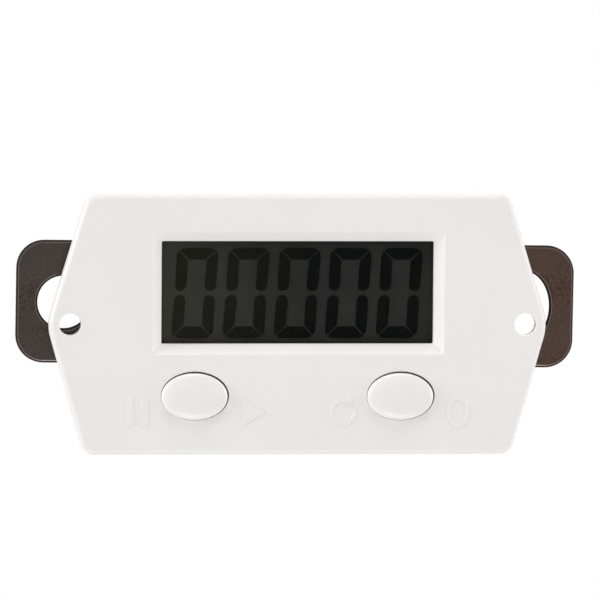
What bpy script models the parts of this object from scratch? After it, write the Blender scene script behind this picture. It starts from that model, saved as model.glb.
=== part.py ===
"""Panel counter for a proximity sensor, as the separate pieces that it is assembled from.

Metres, +Z up. The front faces -Y. The origin is the centre of the panel cut-out, in the
back plane of the front plate.
"""

import math

import bmesh
import bpy
from mathutils import Matrix, Vector

# Front plate
PLATE_BORDER = 0.00292
PLATE_SHOULDER = 0.0050
PLATE_POINT = 0.0050
PLATE_BOTTOM_EXTRA = 0.0005
PLATE_THICKNESS = 0.0020
PLATE_CORNER_RADIUS = 0.0015
PLATE_TIP_RADIUS = 0.0064
PLATE_FILLET = 0.0008
PLATE_HOLE_INSET = 0.0029
PLATE_HOLE_DIAMETER = 0.0030

# Display window and the sloping bezel round it
WINDOW_WIDTH = 0.0372
WINDOW_HEIGHT = 0.01424
WINDOW_RAISE = 0.00446
BEZEL_WIDTH = 0.00137
BEZEL_DEPTH = 0.0014

# Housing shells
WALL = 0.0012
BODY_CORNER_RADIUS = 0.0020
BODY_BACK_FILLET = 0.0007
LIP_THICKNESS = 0.0006
LIP_LENGTH = 0.0011
LIP_ROOT = 0.0005
RIB_THICKNESS = 0.0008
RIB_DEPTH = 0.0030
RIB_LENGTH = 0.0300

# Clearances
FIT_GAP = 0.0003
LAYER_GAP = 0.00005
LIP_GAP = 0.00015
SCREW_GAP = 0.00015
BITE = 0.0002
OVERRUN = 0.0010

# Posts and screws
POST_RADIUS = 0.0019
COVER_POST_RADIUS = 0.0023
POST_BITE = 0.0005
HOUSING_SCREW_DIAMETER = 0.0020
HOUSING_SCREW_TIP = 0.0010
HOUSING_HEAD_DIAMETER = 0.0034
HOUSING_HEAD_HEIGHT = 0.0013
HOUSING_HEAD_SINK = 0.0003
BOARD_SCREW_DIAMETER = 0.0016
BOARD_SCREW_LENGTH = 0.0045
BOARD_HEAD_DIAMETER = 0.0026
BOARD_HEAD_HEIGHT = 0.0010
BOARD_SCREW_DROP = 0.0010
RECESS_WIDTH = 0.0004
RECESS_DEPTH = 0.0006
HEAD_FLAT_SHARE = 0.7
TIP_SHARE = 0.35

# Clamp that holds the counter in a panel, and its screw
CLAMP_EAR_REACH = 0.0042
CLAMP_WIDTH = 0.01675
CLAMP_THICKNESS = 0.0010
CLAMP_RAISE = 0.0026
CLAMP_SHIFT = -0.00015
CLAMP_LEAN = math.radians(0.42)
CLAMP_CORNER_RADIUS = 0.0038
CLAMP_BEND_RADIUS = 0.0006
CLAMP_EAR_DEPTH = 0.0006
CLAMP_SIDE_GAP = 0.0004
CLAMP_LEFT_HOLE_DIAMETER = 0.00716
CLAMP_LEFT_HOLE_INSET = 0.00646
CLAMP_RIGHT_HOLE_WIDTH = 0.00712
CLAMP_RIGHT_HOLE_HEIGHT = 0.0096
CLAMP_RIGHT_HOLE_INSET = 0.00735
CLAMP_SCREW_DIAMETER = 0.0025
CLAMP_SCREW_LENGTH = 0.0070
CLAMP_HEAD_DIAMETER = 0.0048
CLAMP_HEAD_HEIGHT = 0.0015
CLAMP_WASHER_DIAMETER = 0.0060
CLAMP_WASHER_THICKNESS = 0.0005
INSERT_DIAMETER = 0.0038
INSERT_LENGTH = 0.0040
BOSS_RADIUS = 0.0029
BOSS_DEPTH = 0.0048
BOSS_DRAWER_GAP = 0.0001

# Display stack
FILM_LAP = 0.0004
FILM_THICKNESS = 0.0002
CELL_LAP = 0.0006
GLASS_THICKNESS = 0.0007
CONTACT_LEDGE = 0.0012
CELL_GAP = 0.00015
SEGMENT_RISE = 0.00008
STRIP_CONNECTOR_THICKNESS = 0.0008
STRIP_CONNECTOR_INSET = 0.0002
HOLDER_RIM = 0.0014

# Digits
DIGIT_COUNT = 5
DIGIT_PITCH = 0.00698
DIGIT_WIDTH = 0.0056
DIGIT_HEIGHT = 0.01247
DIGIT_LEAN = math.radians(3.8)
SEGMENT_WIDTH = 0.0015
SEGMENT_MITRE = 0.00012
SEGMENT_MIDDLE_GAP = 0.00069
SEGMENT_POINT_SHARE = 0.35

# Circuit board and what is on it
BOARD_DEPTH = 0.0046
BOARD_THICKNESS = 0.0012
BOARD_GAP = 0.0004
CHIP_RADIUS = 0.0042
CHIP_HEIGHT = 0.0014
CRYSTAL_DIAMETER = 0.0020
CRYSTAL_LENGTH = 0.0060
CHIP_PART_LENGTH = 0.0020
CHIP_PART_WIDTH = 0.00125
CAPACITOR_HEIGHT = 0.0009
RESISTOR_HEIGHT = 0.0005
HEADER_WIDTH = 0.0060
HEADER_HEIGHT = 0.0045
HEADER_DEPTH = 0.0042
HEADER_WALL = 0.0006
PIN_SIZE = 0.0005
PIN_SPACING = 0.0020
PAD_RADIUS = 0.0019
PAD_THICKNESS = 0.0001

# Buttons
BUTTON_WIDTH = 0.00905
BUTTON_HEIGHT = 0.00637
BUTTON_RIM_RISE = 0.00025
BUTTON_DOME_RISE = 0.00065
BUTTON_GAP = 0.0002
BUTTON_SKIRT = 0.0005
BUTTON_SKIRT_THICKNESS = 0.0006
BUTTON_RIB_GAP = 0.0005
BUTTON_WALL_GAP = 0.00025
BUTTON_POST_GAP = 0.0004

# Rubber domes under the buttons
DOME_BASE_RADIUS = 0.0036
DOME_FOOT_RADIUS = 0.0031
DOME_TOP_RADIUS = 0.0024
DOME_SKIN = 0.0005
DOME_TOP_THICKNESS = 0.0008
DOME_POST_RADIUS = 0.0017
PILL_RADIUS = 0.0015
PILL_THICKNESS = 0.0004
BUTTON_TRAVEL = 0.0008
TRAVEL_SPARE = 0.0001

# Button cell and its drawer
CELL_DIAMETER = 0.0116
CELL_THICKNESS = 0.0054
CELL_CAP_DIAMETER = 0.0092
CELL_CAP_HEIGHT = 0.0006
CELL_EDGE_ROUND = 0.0004
CELL_CLEARANCE = 0.00015
DRAWER_WALL = 0.0009
DRAWER_SET_BACK = 0.0004
DRAWER_HANDLE_LIP = 0.0006
DRAWER_HANDLE_THICKNESS = 0.0006
DRAWER_POST_GAP = 0.0026
DRAWER_FRONT_GAP = 0.0002
DRAWER_GROOVE_RADIUS = 0.0008
DRAWER_GROOVE_SINK = 0.0002
GUIDE_THICKNESS = 0.0010
GUIDE_RISE = 0.0003
CONTACT_THICKNESS = 0.0003
CONTACT_WIDTH = 0.0060
CONTACT_DROP = 0.0080
SPRING_WIRE = 0.0004
SPRING_FOOT_RADIUS = 0.0030
SPRING_TIP_RADIUS = 0.0018
SPRING_TURNS = 3

# Cable grommet in the back wall
GROMMET_POST_GAP = 0.0030
GROMMET_RAISE = 0.0035
GROMMET_BORE = 0.0030
GROMMET_NECK = 0.0046
GROMMET_FLANGE = 0.0062
GROMMET_FLANGE_THICKNESS = 0.0009

# Fineness of round shapes, as counts
CORNER_STEPS = 6
ROUND_STEPS = 32
OVAL_STEPS = 40
SMALL_STEPS = 20
DOME_RINGS = 6
SPRING_STEPS = 12

# Places on the board, as shares of its width and height
CHIP_SHARES = (-0.16, 0.24)
CRYSTAL_SHARES = (0.12, 0.36)
HEADER_SHARE = -0.30
SMALL_PART_SHARES = {
    "capacitor_1": (-0.36, 0.12),
    "capacitor_2": (0.24, 0.22),
    "resistor_1": (-0.36, 0.02),
    "resistor_2": (-0.06, -0.06),
}

WHITE = (0.80, 0.78, 0.75)

# Display stack, from the inner face of the front wall backwards
film_front = LAYER_GAP
front_glass_front = film_front + FILM_THICKNESS + LAYER_GAP
front_glass_back = front_glass_front + GLASS_THICKNESS
rear_glass_front = front_glass_back + CELL_GAP
rear_glass_back = rear_glass_front + GLASS_THICKNESS
reflector_front = rear_glass_back + LAYER_GAP
holder_front = reflector_front + FILM_THICKNESS + LAYER_GAP
board_back = BOARD_DEPTH + BOARD_THICKNESS
split_depth = board_back + FIT_GAP + LIP_LENGTH
cell_width = WINDOW_WIDTH + 2 * CELL_LAP
cell_height = WINDOW_HEIGHT + 2 * CELL_LAP
glass_height = cell_height + 2 * CONTACT_LEDGE

# Body box, set by the display above and the buttons below
inner_half_width = cell_width / 2 + FIT_GAP + 2 * POST_RADIUS - POST_BITE
half_width = inner_half_width + WALL
inner_top = WINDOW_RAISE + glass_height / 2 + FIT_GAP
skirt_half_width = BUTTON_WIDTH / 2 + BUTTON_SKIRT
skirt_half_height = BUTTON_HEIGHT / 2 + BUTTON_SKIRT
rib_top = WINDOW_RAISE - glass_height / 2 - FIT_GAP
rib_bottom = rib_top - RIB_THICKNESS
button_z = rib_bottom - BUTTON_RIB_GAP - skirt_half_height
inner_bottom = button_z - skirt_half_height - BUTTON_WALL_GAP
body_top = inner_top + WALL
body_bottom = inner_bottom - WALL
post_x = inner_half_width - POST_RADIUS + POST_BITE
post_top = inner_top - POST_RADIUS + POST_BITE
post_bottom = inner_bottom + POST_RADIUS - POST_BITE
button_x = post_x - POST_RADIUS - BUTTON_POST_GAP - skirt_half_width

# Battery drawer, inwards from the right rear post and upwards from the bottom wall
pocket_radius = CELL_DIAMETER / 2 + CELL_CLEARANCE
drawer_half_width = pocket_radius + DRAWER_WALL
slot_half_width = drawer_half_width + CELL_CLEARANCE
handle_half_width = slot_half_width + DRAWER_HANDLE_LIP
drawer_x = post_x - COVER_POST_RADIUS - DRAWER_POST_GAP - handle_half_width
cell_z = inner_bottom + DRAWER_WALL + pocket_radius
drawer_top = cell_z + pocket_radius + DRAWER_WALL
boss_z = drawer_top + GUIDE_RISE + BOSS_DRAWER_GAP + BOSS_RADIUS
drawer_half_depth = CELL_THICKNESS / 2 - DRAWER_SET_BACK
slot_half_depth = CELL_THICKNESS / 2 + CELL_CLEARANCE
handle_half_depth = slot_half_depth + DRAWER_HANDLE_LIP
cell_y = split_depth + LIP_ROOT + DRAWER_FRONT_GAP + CELL_CLEARANCE + handle_half_depth
cell_front = cell_y - CELL_THICKNESS / 2
cell_back = cell_y + CELL_THICKNESS / 2
contact_front = cell_back + FIT_GAP
contact_back = contact_front + CONTACT_THICKNESS
inner_back = contact_back + FIT_GAP
body_depth = inner_back + WALL

# Front plate and clamp, from the body
plate_top = body_top + PLATE_BORDER
plate_bottom = body_bottom - PLATE_BORDER
plate_top_length = 2 * (half_width + PLATE_SHOULDER)
plate_bottom_length = plate_top_length + PLATE_BOTTOM_EXTRA
plate_width = plate_top_length + 2 * PLATE_POINT
plate_hole_x = plate_width / 2 - PLATE_HOLE_INSET
clamp_length = plate_width + 2 * CLAMP_EAR_REACH
screw_seat = body_depth - HOUSING_HEAD_SINK - HOUSING_HEAD_HEIGHT
clamp_seat = body_depth + FIT_GAP + CLAMP_THICKNESS + LAYER_GAP
grommet_x = GROMMET_FLANGE / 2 + GROMMET_POST_GAP + COVER_POST_RADIUS - post_x
grommet_z = inner_bottom + GROMMET_RAISE
board_width = 2 * (inner_half_width - BOARD_GAP)
board_height = inner_top - inner_bottom - 2 * BOARD_GAP
board_z = (inner_top + inner_bottom) / 2

# Which way the flat outline and the depth of a solid lie, for each direction of its depth
FACING = {
    "X": Matrix(((0, 0, 1), (1, 0, 0), (0, 1, 0))),
    "Y": Matrix(((1, 0, 0), (0, 0, -1), (0, 1, 0))),
    "Z": Matrix(((1, 0, 0), (0, 1, 0), (0, 0, 1))),
}

# How a round piece made upright is laid along each direction
LAID = {
    "X": Matrix.Rotation(math.pi / 2, 4, "Y"),
    "Y": Matrix.Rotation(-math.pi / 2, 4, "X"),
    "Z": Matrix.Identity(4),
}


def clear_scene():
    for old in list(bpy.data.objects):
        bpy.data.objects.remove(old, do_unlink=True)


def make_collection(name, hidden=False):
    collection = bpy.data.collections.new(name)
    bpy.context.scene.collection.children.link(collection)
    collection.hide_render = hidden
    return collection


def add_object(name, mesh, location=(0, 0, 0)):
    made = bpy.data.objects.new(name, mesh)
    made.location = location
    PARTS.objects.link(made)
    return made


def evaluated_mesh(made, merge=0):
    """The object's mesh with its modifiers worked in, and loose caps welded."""
    bpy.context.view_layer.update()
    graph = bpy.context.evaluated_depsgraph_get()
    mesh = bpy.data.meshes.new_from_object(made.evaluated_get(graph))
    if merge:
        shape = bmesh.new()
        shape.from_mesh(mesh)
        bmesh.ops.remove_doubles(shape, verts=shape.verts, dist=merge)
        shape.to_mesh(mesh)
        shape.free()
    return mesh


def set_mesh(made, mesh):
    """Puts a finished mesh on an object in place of its modifiers."""
    made.modifiers.clear()
    made.data = mesh


def slab(name, outline, facing, low, high, location=(0, 0, 0)):
    """A flat outline with a depth from low to high along X, Y or Z."""
    curve = bpy.data.curves.new(name, "CURVE")
    curve.dimensions = "2D"
    curve.fill_mode = "BOTH"
    curve.extrude = (high - low) / 2
    line = curve.splines.new("POLY")
    line.points.add(len(outline) - 1)
    for point, place in zip(line.points, outline):
        point.co = (place[0], place[1], 0, 1)
    line.use_cyclic_u = True
    flat = add_object(name + "_outline", curve)
    mesh = evaluated_mesh(flat, merge=LAYER_GAP / 100)
    bpy.data.objects.remove(flat, do_unlink=True)
    turn = FACING[facing]
    shift = turn @ Vector((0, 0, (low + high) / 2))
    if facing == "Y":
        shift = -shift
    for vertex in mesh.vertices:
        vertex.co = turn @ vertex.co + shift
    return add_object(name, mesh, location)


def box(name, low, high, location=(0, 0, 0)):
    """A box between two opposite corners."""
    shape = bmesh.new()
    bmesh.ops.create_cube(shape, size=1)
    size = Vector(high) - Vector(low)
    middle = (Vector(high) + Vector(low)) / 2
    bmesh.ops.scale(shape, vec=size, verts=shape.verts)
    bmesh.ops.translate(shape, vec=middle, verts=shape.verts)
    mesh = bpy.data.meshes.new(name)
    shape.to_mesh(mesh)
    shape.free()
    return add_object(name, mesh, location)


def turned(name, profile, facing, steps, location=(0, 0, 0)):
    """A profile of radius and height turned about X, Y or Z; the height runs along that axis."""
    mesh = bpy.data.meshes.new(name)
    points = [(radius, 0, height) for radius, height in profile]
    edges = [(i, i + 1) for i in range(len(points) - 1)]
    if profile[0][0] > 0:
        edges.append((len(points) - 1, 0))
    mesh.from_pydata(points, edges, [])
    made = add_object(name, mesh)
    screw = made.modifiers.new("turn", "SCREW")
    screw.axis = "Z"
    screw.steps = steps
    screw.render_steps = steps
    screw.use_merge_vertices = True
    screw.merge_threshold = LAYER_GAP / 100
    finished = evaluated_mesh(made)
    finished.transform(LAID[facing])
    set_mesh(made, finished)
    made.location = location
    return made


def rod(name, radius, facing, low, high, steps, location=(0, 0, 0)):
    """A plain round bar from low to high along its axis."""
    shape = bmesh.new()
    bmesh.ops.create_cone(
        shape, cap_ends=True, segments=steps, radius1=radius, radius2=radius, depth=high - low
    )
    bmesh.ops.translate(shape, vec=(0, 0, (low + high) / 2), verts=shape.verts)
    mesh = bpy.data.meshes.new(name)
    shape.to_mesh(mesh)
    shape.free()
    mesh.transform(LAID[facing])
    return add_object(name, mesh, location)


def loft(name, rings, location=(0, 0, 0)):
    """A solid through rings of equally many points, the first ring in front."""
    shape = bmesh.new()
    rows = [[shape.verts.new(point) for point in ring] for ring in rings]
    count = len(rows[0])
    for front, back in zip(rows, rows[1:]):
        for i in range(count):
            j = (i + 1) % count
            shape.faces.new((front[i], front[j], back[j], back[i]))
    shape.faces.new(rows[0])
    shape.faces.new(rows[-1])
    bmesh.ops.recalc_face_normals(shape, faces=shape.faces)
    mesh = bpy.data.meshes.new(name)
    shape.to_mesh(mesh)
    shape.free()
    return add_object(name, mesh, location)


def combine(target, tool, operation):
    """Joins a tool to the target, or cuts it out, and puts the tool with the cutters."""
    step = target.modifiers.new(operation.lower(), "BOOLEAN")
    step.operation = operation
    step.solver = "EXACT"
    step.object = tool
    PARTS.objects.unlink(tool)
    CUTTERS.objects.link(tool)
    tool.hide_render = True
    tool.display_type = "WIRE"


def join(target, *tools):
    for tool in tools:
        combine(target, tool, "UNION")


def cut(target, *tools):
    for tool in tools:
        combine(target, tool, "DIFFERENCE")


def rectangle(left, right, low, high):
    return [(left, low), (right, low), (right, high), (left, high)]


def rounded(corners, radii, steps=CORNER_STEPS):
    """The outline through the corners, each corner turned with its own radius."""
    outline = []
    for i, (place, radius) in enumerate(zip(corners, radii)):
        if not radius:
            outline.append(place)
            continue
        corner = Vector(place)
        before = (Vector(corners[i - 1]) - corner).normalized()
        after = (Vector(corners[(i + 1) % len(corners)]) - corner).normalized()
        half = before.angle(after) / 2
        middle = corner + (before + after).normalized() * (radius / math.sin(half))
        reach = radius / math.tan(half)
        first = corner + before * reach - middle
        last = corner + after * reach - middle
        start = math.atan2(first.y, first.x)
        sweep = math.atan2(last.y, last.x) - start
        sweep = (sweep + math.pi) % math.tau - math.pi
        for k in range(steps + 1):
            angle = start + sweep * k / steps
            outline.append((middle.x + radius * math.cos(angle), middle.y + radius * math.sin(angle)))
    return outline


def oval(half_wide, half_high, y):
    """A ring of points round an ellipse that faces the front."""
    ring = []
    for k in range(OVAL_STEPS):
        angle = math.tau * k / OVAL_STEPS
        ring.append((half_wide * math.cos(angle), y, half_high * math.sin(angle)))
    return ring


def finish(made, colour, roughness, metallic=0.0, alpha=1.0):
    """Gives the object its own material, and shades its round faces smooth."""
    material = bpy.data.materials.new(made.name + "_finish")
    material.use_nodes = True
    shader = material.node_tree.nodes["Principled BSDF"]
    shader.inputs["Base Color"].default_value = (*colour, 1)
    shader.inputs["Roughness"].default_value = roughness
    shader.inputs["Metallic"].default_value = metallic
    shader.inputs["Alpha"].default_value = alpha
    made.data.materials.clear()
    made.data.materials.append(material)
    made.data.shade_smooth()
    made.data.set_sharp_from_angle(angle=math.radians(35))
    return made


def post_places():
    """The four corner posts, by name, as x and z."""
    return {
        "top_left": (-post_x, post_top),
        "top_right": (post_x, post_top),
        "bottom_left": (-post_x, post_bottom),
        "bottom_right": (post_x, post_bottom),
    }


def board_screw_places():
    return {"left": (-post_x, -BOARD_SCREW_DROP), "right": (post_x, -BOARD_SCREW_DROP)}


def body_outline(inset, radius):
    """The rounded rectangle of the body, drawn in from its outer faces."""
    corners = rectangle(-half_width + inset, half_width - inset, body_bottom + inset, body_top - inset)
    return rounded(corners, [radius] * len(corners))


def front_plate():
    """The flat hexagon with a rounded front edge."""
    slope = math.atan2(plate_width - plate_top_length, plate_top - plate_bottom)
    tip = plate_width / 2 + PLATE_TIP_RADIUS * (1 / math.cos(slope) - 1)
    corners = [
        (tip, 0),
        (plate_top_length / 2, plate_top),
        (-plate_top_length / 2, plate_top),
        (-tip, 0),
        (-plate_bottom_length / 2, plate_bottom),
        (plate_bottom_length / 2, plate_bottom),
    ]
    radii = [PLATE_CORNER_RADIUS] * len(corners)
    radii[0] = PLATE_TIP_RADIUS
    radii[3] = PLATE_TIP_RADIUS
    plate = slab("front_housing", rounded(corners, radii), "Y", -PLATE_THICKNESS, 0)
    weights = plate.data.attributes.new("bevel_weight_edge", "FLOAT", "EDGE")
    for edge in plate.data.edges:
        ends = [plate.data.vertices[i].co for i in edge.vertices]
        if all(end.y < -PLATE_THICKNESS / 2 for end in ends):
            weights.data[edge.index].value = 1
    fillet = plate.modifiers.new("front_fillet", "BEVEL")
    fillet.limit_method = "WEIGHT"
    fillet.width = PLATE_FILLET
    fillet.segments = 4
    return plate


def front_housing():
    """Front plate, box walls, posts, display rib, bezel, apertures and holes."""
    housing = front_plate()
    join(housing, slab("box_outside", body_outline(0, BODY_CORNER_RADIUS), "Y", -BITE, split_depth))
    hollow_radius = max(BODY_CORNER_RADIUS - WALL, LIP_THICKNESS)
    cut(housing, slab("box_hollow", body_outline(WALL, hollow_radius), "Y", 0, split_depth + OVERRUN))
    for name, (x, z) in {**post_places(), **board_screw_places()}.items():
        post = rod("post_" + name, POST_RADIUS, "Y", -BITE, BOARD_DEPTH - LAYER_GAP, SMALL_STEPS, (x, 0, z))
        join(housing, post)
    rib_low = (-RIB_LENGTH / 2, -BITE, rib_bottom)
    join(housing, box("display_rib", rib_low, (RIB_LENGTH / 2, RIB_DEPTH, rib_top)))
    for name, (x, z) in post_places().items():
        radius = HOUSING_SCREW_DIAMETER / 2 + SCREW_GAP
        cut(housing, rod("pilot_" + name, radius, "Y", 0, body_depth, SMALL_STEPS, (x, 0, z)))
    for name, (x, z) in board_screw_places().items():
        radius = BOARD_SCREW_DIAMETER / 2 + SCREW_GAP
        cut(housing, rod("board_pilot_" + name, radius, "Y", 0, body_depth, SMALL_STEPS, (x, 0, z)))
    left = -WINDOW_WIDTH / 2
    right = WINDOW_WIDTH / 2
    low = WINDOW_RAISE - WINDOW_HEIGHT / 2
    high = WINDOW_RAISE + WINDOW_HEIGHT / 2
    reach = 1 + OVERRUN / BEZEL_DEPTH
    bezel = []
    for share, y in (
        (reach, -PLATE_THICKNESS - OVERRUN),
        (0, BEZEL_DEPTH - PLATE_THICKNESS),
        (0, OVERRUN),
    ):
        sides = rectangle(
            left - BEZEL_WIDTH * share,
            right + BEZEL_WIDTH * share,
            low - BEZEL_WIDTH * share,
            high + BEZEL_WIDTH * share,
        )
        bezel.append([(x, y, z) for x, z in sides])
    cut(housing, loft("window", bezel))
    for name, x in (("pause", -button_x), ("reset", button_x)):
        half_wide = BUTTON_WIDTH / 2 + BUTTON_GAP
        half_high = BUTTON_HEIGHT / 2 + BUTTON_GAP
        rings = [oval(half_wide, half_high, y) for y in (-PLATE_THICKNESS - OVERRUN, OVERRUN)]
        cut(housing, loft(name + "_aperture", rings, (x, 0, button_z)))
    for name, x in (("left", -plate_hole_x), ("right", plate_hole_x)):
        radius = PLATE_HOLE_DIAMETER / 2
        front = -PLATE_THICKNESS - OVERRUN
        cut(housing, rod("plate_hole_" + name, radius, "Y", front, OVERRUN, ROUND_STEPS, (x, 0, 0)))
    finish(housing, WHITE, 0.45)


def rear_cover():
    """Box walls with a lip, posts, screw seats, drawer guides, grommet hole and bosses."""
    cover = slab("rear_cover", body_outline(0, BODY_CORNER_RADIUS), "Y", split_depth, body_depth)
    weights = cover.data.attributes.new("bevel_weight_edge", "FLOAT", "EDGE")
    for edge in cover.data.edges:
        ends = [cover.data.vertices[i].co for i in edge.vertices]
        if all(end.y > (split_depth + body_depth) / 2 for end in ends):
            weights.data[edge.index].value = 1
    fillet = cover.modifiers.new("back_fillet", "BEVEL")
    fillet.limit_method = "WEIGHT"
    fillet.width = BODY_BACK_FILLET
    fillet.segments = 3
    lip_inset = WALL + LIP_GAP
    lip_radius = max(BODY_CORNER_RADIUS - lip_inset, LIP_THICKNESS)
    lip = body_outline(lip_inset, lip_radius)
    lip_front = split_depth - LIP_LENGTH
    join(cover, slab("lip", lip, "Y", lip_front, split_depth + BITE))
    mouth = body_outline(lip_inset + LIP_THICKNESS, LIP_THICKNESS)
    cut(cover, slab("lip_mouth", mouth, "Y", lip_front - OVERRUN, split_depth + LIP_ROOT + BITE))
    hollow = body_outline(WALL, max(BODY_CORNER_RADIUS - WALL, LIP_THICKNESS))
    cut(cover, slab("cover_hollow", hollow, "Y", split_depth + LIP_ROOT, inner_back))
    for name, (x, z) in post_places().items():
        span = (split_depth + LIP_ROOT / 2, inner_back + BITE)
        join(cover, rod("cover_post_" + name, COVER_POST_RADIUS, "Y", *span, SMALL_STEPS, (x, 0, z)))
    for side, sign in (("left", -1), ("right", 1)):
        middle_x = drawer_x + sign * (slot_half_width + GUIDE_THICKNESS / 2)
        low_x = middle_x - GUIDE_THICKNESS / 2
        guide_low = (low_x, cell_y - drawer_half_depth, inner_bottom - BITE)
        guide_high = (low_x + GUIDE_THICKNESS, inner_back + BITE, drawer_top + GUIDE_RISE)
        join(cover, box("drawer_guide_" + side, guide_low, guide_high))
    boss_back = inner_back + BITE
    boss_place = (0, 0, boss_z)
    boss_span = (boss_back - BOSS_DEPTH, boss_back)
    join(cover, rod("boss", BOSS_RADIUS, "Y", *boss_span, ROUND_STEPS, boss_place))
    insert_way = INSERT_DIAMETER / 2 + LAYER_GAP
    cut(cover, rod("insert_way", insert_way, "Y", board_back, body_depth + OVERRUN, ROUND_STEPS, boss_place))
    for name, (x, z) in post_places().items():
        shank = HOUSING_SCREW_DIAMETER / 2 + SCREW_GAP
        head = HOUSING_HEAD_DIAMETER / 2 + SCREW_GAP
        cut(cover, rod("screw_way_" + name, shank, "Y", 0, body_depth, SMALL_STEPS, (x, 0, z)))
        seat = screw_seat - SCREW_GAP
        cut(cover, rod("screw_seat_" + name, head, "Y", seat, body_depth + OVERRUN, SMALL_STEPS, (x, 0, z)))
    for name, (x, z) in board_screw_places().items():
        notch = BOARD_HEAD_DIAMETER / 2 + FIT_GAP
        notch_back = board_back + BOARD_HEAD_HEIGHT + FIT_GAP
        cut(cover, rod("lip_notch_" + name, notch, "Y", 0, notch_back, SMALL_STEPS, (x, 0, z)))
    drawer_slots(cover)
    hole = GROMMET_NECK / 2 + LIP_GAP
    place = (grommet_x, 0, grommet_z)
    span = (inner_back - OVERRUN, body_depth + OVERRUN)
    cut(cover, rod("grommet_hole", hole, "Y", *span, ROUND_STEPS, place))
    finish(cover, WHITE, 0.5)


def drawer_slots(cover):
    """A recess for the drawer's handle, and the slot through the rest of the bottom wall."""
    handle = (handle_half_width + CELL_CLEARANCE, handle_half_depth + CELL_CLEARANCE)
    frame = (slot_half_width, slot_half_depth)
    seat = body_bottom + DRAWER_HANDLE_THICKNESS + CELL_CLEARANCE
    for name, (half_wide, half_deep), top in (
        ("handle_recess", handle, seat),
        ("drawer_slot", frame, inner_bottom + BITE),
    ):
        low = (drawer_x - half_wide, cell_y - half_deep, body_bottom - OVERRUN)
        cut(cover, box(name, low, (drawer_x + half_wide, cell_y + half_deep, top)))


def clamp():
    """Hat-shaped strip: a web behind the body, two legs, and two ears with a hole each."""
    ear_back = CLAMP_EAR_DEPTH + CLAMP_THICKNESS
    web_front = body_depth + FIT_GAP
    web_back = web_front + CLAMP_THICKNESS
    leg_inner = half_width + CLAMP_SIDE_GAP
    leg_outer = leg_inner + CLAMP_THICKNESS
    end = clamp_length / 2 + OVERRUN
    tight = CLAMP_BEND_RADIUS
    wide = CLAMP_BEND_RADIUS + CLAMP_THICKNESS
    half = [
        (end, ear_back, 0),
        (end, CLAMP_EAR_DEPTH, 0),
        (leg_inner, CLAMP_EAR_DEPTH, wide),
        (leg_inner, web_front, tight),
    ]
    half_back = [(leg_outer, web_back, wide), (leg_outer, ear_back, tight)]
    path = half + [(-x, y, r) for x, y, r in half[::-1]]
    path += [(-x, y, r) for x, y, r in half_back[::-1]] + half_back
    hat = rounded([(x, y) for x, y, _ in path], [r for _, _, r in path])
    half_tall = CLAMP_WIDTH / 2 + OVERRUN
    bracket = slab("clamp_bracket", hat, "Z", -half_tall, half_tall)
    corners = rectangle(-clamp_length / 2, clamp_length / 2, -CLAMP_WIDTH / 2, CLAMP_WIDTH / 2)
    face = rounded(corners, [CLAMP_CORNER_RADIUS] * len(corners))
    trim = slab("clamp_face", face, "Y", -OVERRUN, web_back + OVERRUN)
    span = (-OVERRUN, ear_back + OVERRUN)
    left = (-clamp_length / 2 + CLAMP_LEFT_HOLE_INSET, 0, 0)
    right = (clamp_length / 2 - CLAMP_RIGHT_HOLE_INSET, 0, 0)
    rings = [oval(CLAMP_RIGHT_HOLE_WIDTH / 2, CLAMP_RIGHT_HOLE_HEIGHT / 2, y) for y in span]
    web_hole = CLAMP_SCREW_DIAMETER / 2 + FIT_GAP
    web_span = (ear_back + OVERRUN, web_back + OVERRUN)
    web_place = (-CLAMP_SHIFT, 0, boss_z - CLAMP_RAISE)
    holes = [
        rod("left_ear_hole", CLAMP_LEFT_HOLE_DIAMETER / 2, "Y", *span, ROUND_STEPS, left),
        loft("right_ear_hole", rings, right),
        rod("web_hole", web_hole, "Y", *web_span, SMALL_STEPS, web_place),
    ]
    lean = bpy.data.objects.new("clamp_lean", None)
    PARTS.objects.link(lean)
    lean.location = (CLAMP_SHIFT, 0, CLAMP_RAISE)
    lean.rotation_euler = (0, CLAMP_LEAN, 0)
    for piece in [bracket, trim] + holes:
        piece.parent = lean
    combine(bracket, trim, "INTERSECT")
    cut(bracket, *holes)
    finish(bracket, (0.35, 0.33, 0.32), 0.25, 1.0)


def clamp_fixing():
    """Screw and washer behind the clamp's web, and the threaded insert in the cover's boss."""
    washer = CLAMP_WASHER_DIAMETER / 2
    bore = CLAMP_SCREW_DIAMETER / 2 + SCREW_GAP
    thick = CLAMP_WASHER_THICKNESS
    profile = [(bore, thick), (washer, thick), (washer, 0), (bore, 0)]
    place = (0, clamp_seat, boss_z)
    finish(turned("clamp_washer", profile, "Y", ROUND_STEPS, place), (0.62, 0.62, 0.62), 0.3, 1.0)
    mesh = pan_screw_mesh(
        "clamp_screw", CLAMP_SCREW_DIAMETER, CLAMP_SCREW_LENGTH, CLAMP_HEAD_DIAMETER, CLAMP_HEAD_HEIGHT
    )
    place = (0, clamp_seat + CLAMP_WASHER_THICKNESS + LAYER_GAP, boss_z)
    finish(add_object("clamp_screw", mesh, place), (0.62, 0.62, 0.62), 0.3, 1.0)
    outer = INSERT_DIAMETER / 2
    high = body_depth - SCREW_GAP
    profile = [(bore, high), (outer, high), (outer, high - INSERT_LENGTH), (bore, high - INSERT_LENGTH)]
    insert = turned("clamp_insert", profile, "Y", ROUND_STEPS, (0, 0, boss_z))
    finish(insert, (0.72, 0.53, 0.25), 0.3, 1.0)


def cross_recess(name, reach, top, location):
    """Two crossed slots for a screwdriver, sunk from the top of a head that faces back."""
    arms = []
    for i, (x, z) in enumerate(((reach, RECESS_WIDTH), (RECESS_WIDTH, reach))):
        low = (-x / 2, top - RECESS_DEPTH, -z / 2)
        arms.append(box(f"{name}_{i}", low, (x / 2, top + OVERRUN, z / 2), location))
    return arms


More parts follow.
